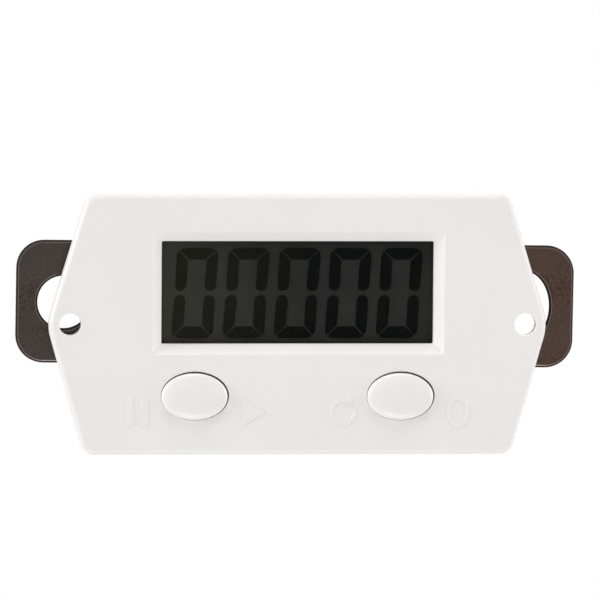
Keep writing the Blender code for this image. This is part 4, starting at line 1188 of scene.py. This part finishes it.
def rear_cover():
    """Rear shell with its lip, posts, guides and boss, and what is cut from it."""
    size = sizes()
    split, back, low = PLATE_HIGH.y, COVER_HIGH.y, COVER_LOW.y
    spans = [(size.seam, split), (0.0, split + size.seam)]
    spans += [
        (size.back_fillet * (1 - cosine), back - size.back_fillet * (1 - sine))
        for sine, cosine in quarter(ROUND_STEPS)
    ]
    shell = lofted("rear_shell", body_rings(spans))
    lip_inset = size.wall + FIT
    join(shell, lofted("lip", body_rings([(0.0, low), (0.0, split + BITE)], lip_inset)))
    inside = back - size.wall
    mouth = body_rings([(0.0, low - OVERRUN), (0.0, split + LIP_ROOT)], lip_inset + LIP_THICKNESS)
    hollow = body_rings([(0.0, split + HOLLOW_START), (0.0, inside)], size.wall)
    cut(shell, lofted("mouth", mouth), lofted("hollow", hollow))
    root = inside + BITE
    solids = rods("cover_post", COVER_POST_RADIUS, split + COVER_POST_GAP, root, post_places())
    half_deep = (DRAWER_HIGH.y - DRAWER_LOW.y) / 2
    guide_front = CELL.y - half_deep + GUIDE_SETBACK
    for side in (-1, 1):
        middle = CELL.x + side * (CELL_SIZE.x / 2 + SLOT_MARGIN + GUIDE_HALF)
        corner = (middle - GUIDE_HALF, guide_front, COVER_LOW.z + size.wall - BITE)
        opposite = (middle + GUIDE_HALF, root, DRAWER_HIGH.z + GUIDE_RISE)
        solids.append(block(f"drawer_guide_{side}", corner, opposite))
    solids.append(rod("boss", BOSS_RADIUS, root - BOSS_LENGTH, root, 0.0, CLAMP_SCREW.z))
    join(shell, *solids)
    cut(shell, *cover_cutters())
    rgb = shade_of(colour_of("shell"), COVER_SHADE)
    material = moulded("warm_white_cover", rgb, roughness=0.5, grain=COVER_GRAIN)
    finished(shell, material, "housing", ["rear_cover"])


def button_cap(name, place):
    """An oval cap with a low crown that rolls into its rim, and a skirt behind the plate."""
    size = sizes()
    low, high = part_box(name + "_button")
    half_wide, half_high = size.button_width / 2, size.button_height / 2
    across, up = place.x - size.button_set, place.z - size.button_set
    rim = -size.plate_thickness - CAP_SINK
    crown = rim - low.y
    spans = []
    for share in [CAP_MIDDLE_SHARE] + [sine for sine, _ in quarter(CAP_RINGS)[2:]]:
        y = rim - crown * max(0.0, 1 - share**CAP_CURVE) ** (1 / CAP_CURVE)
        spans.append((half_wide * share, half_high * share, y))
    skirt = high.y - CAP_SKIRT
    flange = (half_wide + CAP_FLANGE, half_high + CAP_FLANGE)
    spans += [(half_wide, half_high, skirt), (*flange, skirt), (*flange, high.y)]
    rings = [ring_of(oval(wide, tall, across, up, CAP_STEPS), y) for wide, tall, y in spans]
    return lofted(name + "_cap", rings)


def buttons():
    """The two oval caps."""
    material = moulded("warm_white_cap", colour_of("cap"), roughness=0.36, grain=CAP_GRAIN)
    for name, place in button_places().items():
        node = name + "_button"
        finished(button_cap(name, place), material, node, [node])


def dome_profile(low, high, base):
    """Radius and depth round a dome's section: outside, foot, inside and the post in its middle."""
    foot, top, post = base - DOME_SKIN, base / DOME_BASE_TO_TOP, base / DOME_BASE_TO_POST
    web, post_end, flange = low + DOME_WEB, low + DOME_POST_END, high - DOME_SKIN
    profile = [(0.0, low)]
    profile += [
        (top - DOME_ROUND + DOME_ROUND * sine, low + DOME_ROUND - DOME_ROUND * cosine)
        for sine, cosine in quarter(ROUND_STEPS)
    ]
    for k in range(1, DOME_STEPS + 1):
        share = k / DOME_STEPS
        bulge = DOME_BULGE * math.sin(math.pi * share)
        depth = low + DOME_ROUND + (flange - low - DOME_ROUND) * share
        profile.append((top + (foot - top) * share**DOME_FLARE + bulge, depth))
    profile += [(base - DOME_SKIN / 4, flange), (base, flange + DOME_SKIN / 4), (base, high)]
    inside = foot - DOME_SKIN
    profile += [(inside, high), (inside, flange)]
    for k in reversed(range(DOME_STEPS)):
        share = k / DOME_STEPS
        depth = web + (flange - web) * share
        profile.append((top - DOME_SKIN + (inside - top + DOME_SKIN) * share**DOME_FLARE, depth))
    blunt = DOME_ROUND / 3
    profile += [(post + DOME_ROUND / 2, web), (post, web + DOME_ROUND / 2), (post, post_end - blunt)]
    return profile + [(post - blunt, post_end), (0.0, post_end)]


def button_domes():
    """Silicone domes under the caps."""
    silicone = rubbery("grey_silicone", (0.40, 0.40, 0.41), roughness=0.55)
    for name in button_places():
        low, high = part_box(name + "_rubber_dome")
        place = (low + high) / 2
        profile = dome_profile(low.y, high.y, (high.x - low.x) / 2)
        dome = turned(name + "_dome", profile, place, TURNED_STEPS)
        finished(dome, silicone, "housing", [name + "_rubber_dome"])
        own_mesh(dome)


def digit_outlines():
    """The six lit segments of a nought: round outer corners, mitres where they meet."""
    size = sizes()
    wide, high, line = size.digit_width / 2, size.digit_height / 2, size.segment_width
    gap = size.segment_gap / 2
    centre = Vector((wide - size.digit_corner, high - size.digit_corner))
    arc = [
        centre + Vector((cosine, sine)) * size.digit_corner for sine, cosine in quarter(DIGIT_STEPS)
    ]
    half_arc = DIGIT_STEPS // 2
    inner = Vector((wide - line, high - line))
    away = Vector((1.0, -1.0)).normalized() * gap
    side = [tuple(inner + away + Vector((0.0, -gap)))]
    side += [tuple(point + away) for point in reversed(arc[: half_arc + 1])]
    tip, blunt = size.segment_split / 2, line * BLUNT_SHARE
    for k in range(DIGIT_STEPS + 1):
        angle = math.pi * k / DIGIT_STEPS
        across = wide - line / 2 + line / 2 * math.cos(angle)
        side.append((across, tip + blunt - blunt * math.sin(angle)))
    right = [tuple(point - away) for point in arc[half_arc:]]
    corner = tuple(inner - away + Vector((-gap, 0.0)))
    top = right + [(-x, z) for x, z in reversed(right)] + [(-corner[0], corner[1]), corner]
    outlines = [[(x, z * flip) for x, z in top] for flip in (1, -1)]
    outlines += [[(x * a, z * b) for x, z in side] for a in (1, -1) for b in (1, -1)]
    lean = math.tan(size.digit_lean)
    return [[(x + z * lean, z) for x, z in outline] for outline in outlines]


def display():
    """Ground glass behind the film, and a row of five noughts on it."""
    size = sizes()
    half = (GLASS_HIGH - GLASS_LOW) / 2
    front = GLASS_LOW.y + DIGIT_RISE
    corners = rectangle(half.x, half.z, 0.0, size.window_raise)
    radii = [GLASS_CORNER] * 4
    spans = [(GLASS_EDGE, front), (0.0, front + GLASS_EDGE)]
    spans += [(0.0, GLASS_HIGH.y - GLASS_EDGE), (GLASS_EDGE, GLASS_HIGH.y)]
    rings = [ring_of(rounded(corners, radii, inset, BORDER_STEPS), y) for inset, y in spans]
    glass = lofted("display_ground_glass", rings)
    ground = display_ground("display_ground", colour_of("glass"))
    finished(glass, ground, "housing", ["lcd_rear_glass"])
    solids = []
    for i, outline in enumerate(digit_outlines()):
        rings = [ring_of(outline, y) for y in (GLASS_LOW.y, front + DIGIT_ROOT)]
        solids.append(lofted(f"segment_{i}", rings))
    digit = joined("display_digits", solids)
    ink = digit_ink("display_ink", colour_of("digit"))
    start = size.digit_across - size.digit_pitch * (DIGITS - 1) / 2
    values = {
        "Across": size.digit_pitch,
        "Count": DIGITS,
        "Place": (start, 0.0, size.window_raise + size.digit_up),
        "Finish": ink,
    }
    run_tree(digit, copies_tree("digit_row", "row"), values)
    finished(digit, ink, "housing", even=False)


def strip_path():
    """Places of the clamp's middle line: ears, web, legs, end of an ear, and the bends' radius."""
    half = sizes().clamp_thickness / 2
    leg_x = COVER_HIGH.x + CLAMP_GAP + half
    return CLAMP_LOW.y + half, CLAMP_HIGH.y - half, leg_x, CLAMP_END, CLAMP_BEND + half


def bent_place(s, ear_y, web_y, leg_x, bend):
    """Place and direction of the middle line at distance s from the web's middle, for s > 0."""
    turn_length = bend * QUARTER
    web_run = leg_x - bend
    leg_run = web_y - ear_y - 2 * bend
    if s < web_run:
        return Vector((s, web_y)), Vector((1.0, 0.0))
    s -= web_run
    if s < turn_length:
        sine, cosine = math.sin(s / bend), math.cos(s / bend)
        centre = Vector((leg_x - bend, web_y - bend))
        return centre + Vector((sine, cosine)) * bend, Vector((cosine, -sine))
    s -= turn_length
    if s < leg_run:
        return Vector((leg_x, web_y - bend - s)), Vector((0.0, -1.0))
    s -= leg_run
    if s < turn_length:
        sine, cosine = math.sin(s / bend), math.cos(s / bend)
        centre = Vector((leg_x + bend, ear_y + bend))
        return centre + Vector((-cosine, -sine)) * bend, Vector((sine, -cosine))
    s -= turn_length
    return Vector((leg_x + bend + s, ear_y)), Vector((1.0, 0.0))


def flat_strip(outlines):
    """The clamp's strip before it is bent: a filled 2D curve with rounded edges, as a bmesh."""
    size = sizes()
    flat = bpy.data.curves.new("clamp_flat", "CURVE")
    flat.dimensions = "2D"
    flat.fill_mode = "BOTH"
    flat.extrude = size.clamp_thickness / 2 - CLAMP_EDGE
    flat.bevel_depth = CLAMP_EDGE
    flat.bevel_resolution = 3
    flat.offset = -CLAMP_EDGE
    for points in outlines:
        line = flat.splines.new("POLY")
        line.points.add(len(points) - 1)
        for point, (x, z) in zip(line.points, points):
            point.co = (x, z, 0.0, 1.0)
        line.use_cyclic_u = True
    curve = new_object("clamp_flat", flat)
    bpy.context.view_layer.update()
    graph = bpy.context.evaluated_depsgraph_get()
    raw = bpy.data.meshes.new_from_object(curve.evaluated_get(graph))
    remove(curve)
    shape = bmesh.new()
    shape.from_mesh(raw)
    bmesh.ops.remove_doubles(shape, verts=shape.verts, dist=WELD)
    return shape


def clamp():
    """The strip is cut flat with rounded edges and its holes, and then bent to its hat shape."""
    size = sizes()
    ear_y, web_y, leg_x, end_x, bend = strip_path()
    turn_length = bend * QUARTER
    ear_start = (leg_x - bend) + 2 * turn_length + (web_y - ear_y - 2 * bend)
    half_long = ear_start + end_x - (leg_x + bend)
    shift = half_long - end_x
    corners = rectangle(half_long, size.clamp_width / 2)
    left_x, right_x = -end_x + LEFT_HOLE_INSET - shift, end_x - RIGHT_HOLE_INSET + shift
    shape = flat_strip(
        [
            rounded(corners, [size.clamp_corner] * 4, 0.0, EAR_STEPS),
            oval(LEFT_HOLE_RADIUS, LEFT_HOLE_RADIUS, left_x, LEFT_HOLE_UP),
            oval(RIGHT_HOLE_HALF_WIDTH, RIGHT_HOLE_HALF_HEIGHT, right_x, 0.0),
            circle(WEB_HOLE_RADIUS, -CLAMP_SHIFT, CLAMP_SCREW.z - CLAMP_RAISE, WEB_HOLE_STEPS),
        ]
    )
    for side in (-1, 1):
        for start in (leg_x - bend, ear_start - turn_length):
            for k in range(BEND_STEPS + 1):
                place = (side * (start + turn_length * k / BEND_STEPS), 0, 0)
                everything = shape.verts[:] + shape.edges[:] + shape.faces[:]
                bmesh.ops.bisect_plane(
                    shape, geom=everything, dist=WELD / 10, plane_co=place, plane_no=(1, 0, 0)
                )
    lean = Matrix.Rotation(size.clamp_lean, 4, "Y")
    move = Matrix.Translation((CLAMP_SHIFT, 0.0, CLAMP_RAISE)) @ lean
    rim = shape.verts.layers.float.new(RIM)
    for vertex in shape.verts:
        x, up, out = vertex.co
        vertex[rim] = min(1.0, (size.clamp_thickness / 2 - abs(out)) / CLAMP_EDGE)
        side = -1 if x < 0 else 1
        place, along = bent_place(abs(x), ear_y, web_y, leg_x, bend)
        spot = place + Vector((-along.y, along.x)) * out
        vertex.co = move @ Vector((side * spot.x, spot.y, up))
    bmesh.ops.recalc_face_normals(shape, faces=shape.faces)
    mesh = bpy.data.meshes.new("clamp_strip")
    shape.to_mesh(mesh)
    shape.free()
    piece = new_object("clamp_strip", mesh)
    material = polished_strip("dark_polished_strip", colour_of("steel"), roughness=0.3)
    finished(piece, material, "clamp", ["clamp_bracket"], BENT_SHARP_ANGLE)


def pan_screw(name, node, shank, head_high, recess):
    """A round-headed screw facing back, with rings for its thread and a cross recess."""
    low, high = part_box(node)
    centre = (low + high) / 2
    head = (high.x - low.x) / 2
    seat = high.y - head_high
    rim = seat + head_high * HEAD_RIM_SHARE
    dome = head_high * (1 - HEAD_RIM_SHARE)
    profile = [(0.0, high.y)]
    for sine, cosine in quarter(HEAD_STEPS)[1:]:
        profile.append((head * sine**HEAD_WIDE_POWER, rim + dome * cosine**HEAD_HIGH_POWER))
    profile += [(head, seat + HEAD_EDGE), (head - HEAD_EDGE, seat), (shank, seat)]
    pitch = shank * PITCH_SHARE
    depth = seat - pitch / 2
    while depth > low.y + shank * TIP_SHARE:
        profile += [(shank, depth), (shank * ROOT_SHARE, depth - pitch / 2)]
        depth -= pitch
    profile += [(shank * POINT_SHARE, low.y + POINT_LENGTH), (0.0, low.y)]
    screw = turned(name, profile, centre)
    arms = []
    for i, (x, z) in enumerate(((head, recess), (recess, head))):
        corner = (centre.x - x * CROSS_SHARE, high.y - CROSS_DEPTH, centre.z - z * CROSS_SHARE)
        opposite = (centre.x + x * CROSS_SHARE, high.y + OVERRUN, centre.z + z * CROSS_SHARE)
        arms.append(block(f"{name}_arm_{i}", corner, opposite))
    return cut(screw, *arms)


def screws():
    """Four long screws by geometry nodes, the clamp's screw and its washer."""
    zinc = plated("bright_zinc", colour_of("plate"))
    screw = pan_screw("cover_screws", "housing_screw_top_right", COVER_SHANK, COVER_HEAD, COVER_RECESS)
    screw.data.transform(Matrix.Translation((-POST.x, 0.0, -POST.z)))
    values = {
        "Across": 2 * POST.x,
        "Up": POST.z - POST_BOTTOM.z,
        "Place": (0.0, 0.0, (POST.z + POST_BOTTOM.z) / 2),
        "Finish": zinc,
    }
    run_tree(screw, copies_tree("screw_grid", "grid"), values)
    names = [f"housing_screw_{v}_{h}" for v in ("top", "bottom") for h in ("left", "right")]
    finished(screw, zinc, "housing", names)
    fixing = pan_screw("clamp_fixing_screw", "clamp_screw", CLAMP_SHANK, CLAMP_HEAD, CLAMP_RECESS)
    finished(fixing, zinc, "clamp_screw", ["clamp_screw"])
    low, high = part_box("clamp_washer")
    outer = (high.x - low.x) / 2
    profile = [
        (WASHER_BORE, low.y),
        (outer - WASHER_EDGE, low.y),
        (outer, low.y + WASHER_EDGE),
        (outer, high.y - WASHER_EDGE),
        (outer - WASHER_EDGE, high.y),
        (WASHER_BORE + WASHER_EDGE, high.y),
        (WASHER_BORE, high.y - WASHER_EDGE),
    ]
    washer = turned("clamp_ring", profile, (low + high) / 2, TURNED_STEPS)
    washer_zinc = plated("washer_zinc", colour_of("plate"), roughness=0.3)
    finished(washer, washer_zinc, "clamp", ["clamp_washer"])


def drawer():
    """Drawer with a rounded handle plate, finger grooves and the cell's pocket."""
    low, high = DRAWER_LOW, DRAWER_HIGH
    radius = CELL_SIZE.x / 2 + FIT
    half_wide = radius + TRAY_WALL
    half_deep = CELL_SIZE.y / 2 - TRAY_SETBACK
    handle = ((high.x - low.x) / 2, (high.y - low.y) / 2)
    corners = rectangle(*handle, CELL.x, CELL.y)
    rings = []
    for inset, z in (
        (HANDLE_EDGE, low.z),
        (HANDLE_EDGE * HANDLE_CUT, low.z + HANDLE_EDGE * HANDLE_CUT),
        (0.0, low.z + HANDLE_EDGE),
        (0.0, low.z + HANDLE_THICKNESS),
    ):
        rings.append([(x, y, z) for x, y in rounded(corners, [HANDLE_CORNER] * 4, inset, ROUND_STEPS)])
    tray = lofted("drawer_tray", rings)
    corner = (CELL.x - half_wide, CELL.y - half_deep, low.z + BITE)
    join(tray, block("tray_frame", corner, (CELL.x + half_wide, CELL.y + half_deep, high.z)))
    span = (CELL.y - half_deep - OVERRUN, CELL.y + half_deep + OVERRUN)
    cut(tray, rod("pocket", radius, *span, CELL.x, CELL.z, POCKET_STEPS))
    grooves = []
    for i, shift in enumerate((-GROOVE_PITCH, 0.0, GROOVE_PITCH)):
        section = circle(GROOVE_RADIUS, steps=GROOVE_STEPS)
        rings = [
            [(x, CELL.y + shift + u, low.z - GROOVE_LIFT + v) for u, v in section]
            for x in (CELL.x - half_wide + GROOVE_END, CELL.x + half_wide - GROOVE_END)
        ]
        grooves.append(lofted(f"finger_groove_{i}", rings))
    cut(tray, *grooves)
    rgb = shade_of(colour_of("shell"), DRAWER_SHADE)
    material = moulded("warm_white_drawer", rgb, roughness=0.5, grain=COVER_GRAIN)
    finished(tray, material, "battery_drawer", ["battery_drawer"])


def grommet():
    """Rubber ring in the cable hole, with flanges on both sides of the wall."""
    low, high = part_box("cable_grommet")
    flange = (high.x - low.x) / 2
    outside, inside = COVER_HIGH.y + FIT, COVER_HIGH.y - sizes().wall - FIT
    face = outside + RING_FLANGE
    rounds = quarter(ROUND_STEPS)
    profile = [
        (RING_BORE + RING_ROUND * (1 - cosine), face - RING_ROUND * (1 - sine))
        for sine, cosine in rounds
    ]
    profile += [
        (flange - RING_ROUND * (1 - sine), face - RING_ROUND * (1 - cosine))
        for sine, cosine in rounds
    ]
    profile += [(flange, outside), (RING_NECK, outside), (RING_NECK, inside), (flange, inside)]
    profile += [(flange, inside - RING_FLANGE), (RING_BORE, inside - RING_FLANGE)]
    ring = turned("cable_ring", profile, GROMMET, TURNED_STEPS)
    rubber = rubbery("black_rubber", colour_of("rubber"), roughness=0.6)
    finished(ring, rubber, "housing", ["cable_grommet"])


def inner_finishes():
    """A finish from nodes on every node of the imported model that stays."""
    carbon = sprinkled("carbon_rubber", grey(0.015), grey(0.05), grain=4200.0, roughness=0.7)
    ink = sprinkled("carbon_ink", grey(0.02), grey(0.06), grain=5200.0, roughness=0.6)
    resin = sprinkled("black_resin", grey(0.010), grey(0.03), grain=2600.0, roughness=0.4)
    tan, brown = (0.36, 0.24, 0.15), (0.25, 0.17, 0.11)
    ceramic = sprinkled("tan_ceramic", tan, brown, grain=5000.0, roughness=0.45)
    zinc = plated("inner_zinc", colour_of("plate"))
    gold = plated("pin_plate", (0.75, 0.60, 0.28), roughness=0.24)
    spring_steel = plated("nickel_spring", (0.66, 0.65, 0.61), roughness=0.22)
    can = plated("nickel_can", (0.40, 0.40, 0.385), roughness=0.36, lines=1800.0)
    holder = moulded("holder_white", (0.68, 0.68, 0.65), roughness=0.55, grain=INNER_GRAIN)
    header = moulded("header_white", (0.70, 0.68, 0.61), roughness=0.5, grain=INNER_GRAIN)
    brass = plated("knurled_brass", (0.70, 0.50, 0.22), roughness=0.3, lines=3400.0)
    strips = layered_strip("layered_strip")
    given = {
        "lcd_front_polariser": front_film("front_film"),
        "lcd_front_glass": clear_glass("front_glass"),
        "lcd_reflector": dull_foil("reflector_foil"),
        "lcd_holder": holder,
        "connector_strip_upper": strips,
        "connector_strip_lower": strips,
        "circuit_board": lacquered_board("green_board"),
        "counter_chip": resin,
        "clock_crystal": zinc,
        "capacitor_1": ceramic,
        "capacitor_2": ceramic,
        "resistor_1": resin,
        "resistor_2": resin,
        "sensor_header": header,
        "sensor_pin_1": gold,
        "sensor_pin_2": gold,
        "pause_contact_pill": carbon,
        "reset_contact_pill": carbon,
        "pause_contact_pad": ink,
        "reset_contact_pad": ink,
        "battery_cell": can,
        "battery_positive_contact": spring_steel,
        "battery_negative_spring": spring_steel,
        "board_screw_left": zinc,
        "board_screw_right": zinc,
        "clamp_insert": brass,
    }
    for name, material in given.items():
        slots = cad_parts[name].data.materials
        if slots:
            for i in range(len(slots)):
                slots[i] = material
        else:
            slots.append(material)


def studio_world():
    """White surroundings, seen in full by camera, gloss and glass, that light the counter softly."""
    world = bpy.data.worlds.new("studio")
    world.use_nodes = True
    bpy.context.scene.world = world
    world.node_tree.nodes.clear()
    nodes = Nodes(world.node_tree)
    seen = nodes.node("ShaderNodeLightPath", output="Is Camera Ray")
    for kind in ("Is Glossy Ray", "Is Transmission Ray"):
        seen = seen.highest(nodes.node("ShaderNodeLightPath", output=kind))
    strength = nodes.span(seen, 0.0, 1.0, WORLD_LIGHT, WORLD_SEEN)
    white = {"Color": (1.0, 1.0, 1.0, 1.0), "Strength": strength}
    light = nodes.node("ShaderNodeBackground", None, white)
    nodes.node("ShaderNodeOutputWorld", None, {"Surface": light})


def stage():
    """Pale floor well below the counter, white surroundings, five soft lamps and the camera."""
    size = sizes()

    def build(shape):
        outline = rectangle(FLOOR_HALF, FLOOR_HALF)
        shape.faces.new([shape.verts.new((x, y, -size.floor_drop)) for x, y in outline])

    floor = new_object("floor", mesh_from("floor", build))
    floor.data.materials.append(studio_white("pale_floor", colour_of("floor")))
    studio_world()
    for name, (place, width, power) in LAMPS.items():
        lamp = bpy.data.lights.new(name, "AREA")
        lamp.size = width
        lamp.energy = power
        holder = new_object(name, lamp)
        holder.location = place
        holder.rotation_euler = (-Vector(place)).to_track_quat("-Z", "Y").to_euler()
    view = bpy.data.cameras.new("view")
    view.sensor_width = SENSOR_WIDTH
    view.lens = SENSOR_WIDTH * size.camera_distance / size.view_width
    view.clip_start = NEAREST_SEEN
    camera = new_object("view", view)
    level = math.cos(size.view_rise)
    toward = Vector(
        (
            -math.sin(size.view_side) * level,
            -math.cos(size.view_side) * level,
            math.sin(size.view_rise),
        )
    )
    aim = Vector((size.aim_across, -size.plate_thickness, size.aim_up))
    camera.location = aim + toward * size.camera_distance
    upright = toward.to_track_quat("Z", "Y").to_matrix()
    camera.rotation_euler = (upright @ Matrix.Rotation(size.view_roll, 3, "Z")).to_euler()
    bpy.context.scene.camera = camera
    bpy.context.scene.view_settings.view_transform = "Standard"


# Operators


class COUNTER_OT_stage(bpy.types.Operator):
    """Floor, lamps, surroundings and camera"""

    bl_idname = "counter.stage"
    bl_label = "Stage"
    bl_options = {"REGISTER", "UNDO"}

    def execute(self, context):
        stage()
        return {"FINISHED"}


class COUNTER_OT_front_housing(bpy.types.Operator):
    """White front shell with its window"""

    bl_idname = "counter.front_housing"
    bl_label = "Front housing"
    bl_options = {"REGISTER", "UNDO"}

    def execute(self, context):
        front_housing()
        return {"FINISHED"}


class COUNTER_OT_moulded_signs(bpy.types.Operator):
    """Plain raised signs by the buttons"""

    bl_idname = "counter.moulded_signs"
    bl_label = "Moulded signs"
    bl_options = {"REGISTER", "UNDO"}

    def execute(self, context):
        moulded_signs()
        return {"FINISHED"}


class COUNTER_OT_rear_cover(bpy.types.Operator):
    """Shell behind the panel"""

    bl_idname = "counter.rear_cover"
    bl_label = "Rear cover"
    bl_options = {"REGISTER", "UNDO"}

    def execute(self, context):
        rear_cover()
        return {"FINISHED"}


class COUNTER_OT_buttons(bpy.types.Operator):
    """Pause and reset caps"""

    bl_idname = "counter.buttons"
    bl_label = "Buttons"
    bl_options = {"REGISTER", "UNDO"}

    def execute(self, context):
        buttons()
        return {"FINISHED"}


class COUNTER_OT_button_domes(bpy.types.Operator):
    """Silicone domes under the caps"""

    bl_idname = "counter.button_domes"
    bl_label = "Button domes"
    bl_options = {"REGISTER", "UNDO"}

    def execute(self, context):
        button_domes()
        return {"FINISHED"}


class COUNTER_OT_display(bpy.types.Operator):
    """Ground glass and five digits"""

    bl_idname = "counter.display"
    bl_label = "Display"
    bl_options = {"REGISTER", "UNDO"}

    def execute(self, context):
        display()
        return {"FINISHED"}


class COUNTER_OT_clamp(bpy.types.Operator):
    """Bent steel strip with two ears"""

    bl_idname = "counter.clamp"
    bl_label = "Clamp"
    bl_options = {"REGISTER", "UNDO"}

    def execute(self, context):
        clamp()
        return {"FINISHED"}


class COUNTER_OT_screws(bpy.types.Operator):
    """Cover screws, clamp screw and washer"""

    bl_idname = "counter.screws"
    bl_label = "Screws"
    bl_options = {"REGISTER", "UNDO"}

    def execute(self, context):
        screws()
        return {"FINISHED"}


class COUNTER_OT_drawer(bpy.types.Operator):
    """Drawer with its finger grooves"""

    bl_idname = "counter.drawer"
    bl_label = "Battery drawer"
    bl_options = {"REGISTER", "UNDO"}

    def execute(self, context):
        drawer()
        return {"FINISHED"}


class COUNTER_OT_grommet(bpy.types.Operator):
    """Rubber ring in the cable hole"""

    bl_idname = "counter.grommet"
    bl_label = "Cable grommet"
    bl_options = {"REGISTER", "UNDO"}

    def execute(self, context):
        grommet()
        return {"FINISHED"}


class COUNTER_OT_inner_finishes(bpy.types.Operator):
    """Finishes on the pieces inside"""

    bl_idname = "counter.inner_finishes"
    bl_label = "Inner finishes"
    bl_options = {"REGISTER", "UNDO"}

    def execute(self, context):
        inner_finishes()
        return {"FINISHED"}


OPERATORS = [
    COUNTER_OT_stage,
    COUNTER_OT_front_housing,
    COUNTER_OT_moulded_signs,
    COUNTER_OT_rear_cover,
    COUNTER_OT_buttons,
    COUNTER_OT_button_domes,
    COUNTER_OT_display,
    COUNTER_OT_clamp,
    COUNTER_OT_screws,
    COUNTER_OT_drawer,
    COUNTER_OT_grommet,
    COUNTER_OT_inner_finishes,
]


class COUNTER_PT_pieces(bpy.types.Panel):
    """Lists the pieces, the sizes and the colours."""

    bl_label = "Counter"
    bl_space_type = "VIEW_3D"
    bl_region_type = "UI"
    bl_category = "Counter"

    def draw(self, context):
        layout = self.layout
        for made in OPERATORS:
            layout.operator(made.bl_idname)
        for group in (context.scene.counter_sizes, context.scene.counter_colours):
            column = layout.column()
            for name in group.bl_rna.properties.keys():
                if name not in ("rna_type", "name"):
                    column.prop(group, name)


CLASSES = [CounterSizes, CounterColours, *OPERATORS, COUNTER_PT_pieces]


def register():
    for made in CLASSES:
        bpy.utils.register_class(made)
    bpy.types.Scene.counter_sizes = bpy.props.PointerProperty(type=CounterSizes)
    bpy.types.Scene.counter_colours = bpy.props.PointerProperty(type=CounterColours)


def unregister():
    del bpy.types.Scene.counter_sizes
    del bpy.types.Scene.counter_colours
    for made in reversed(CLASSES):
        bpy.utils.unregister_class(made)


def main():
    """Registers the add-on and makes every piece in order."""
    register()
    bpy.ops.counter.stage()
    bpy.ops.counter.front_housing()
    bpy.ops.counter.moulded_signs()
    bpy.ops.counter.rear_cover()
    bpy.ops.counter.buttons()
    bpy.ops.counter.button_domes()
    bpy.ops.counter.display()
    bpy.ops.counter.clamp()
    bpy.ops.counter.screws()
    bpy.ops.counter.drawer()
    bpy.ops.counter.grommet()
    bpy.ops.counter.inner_finishes()


if __name__ == "__main__":
    main()
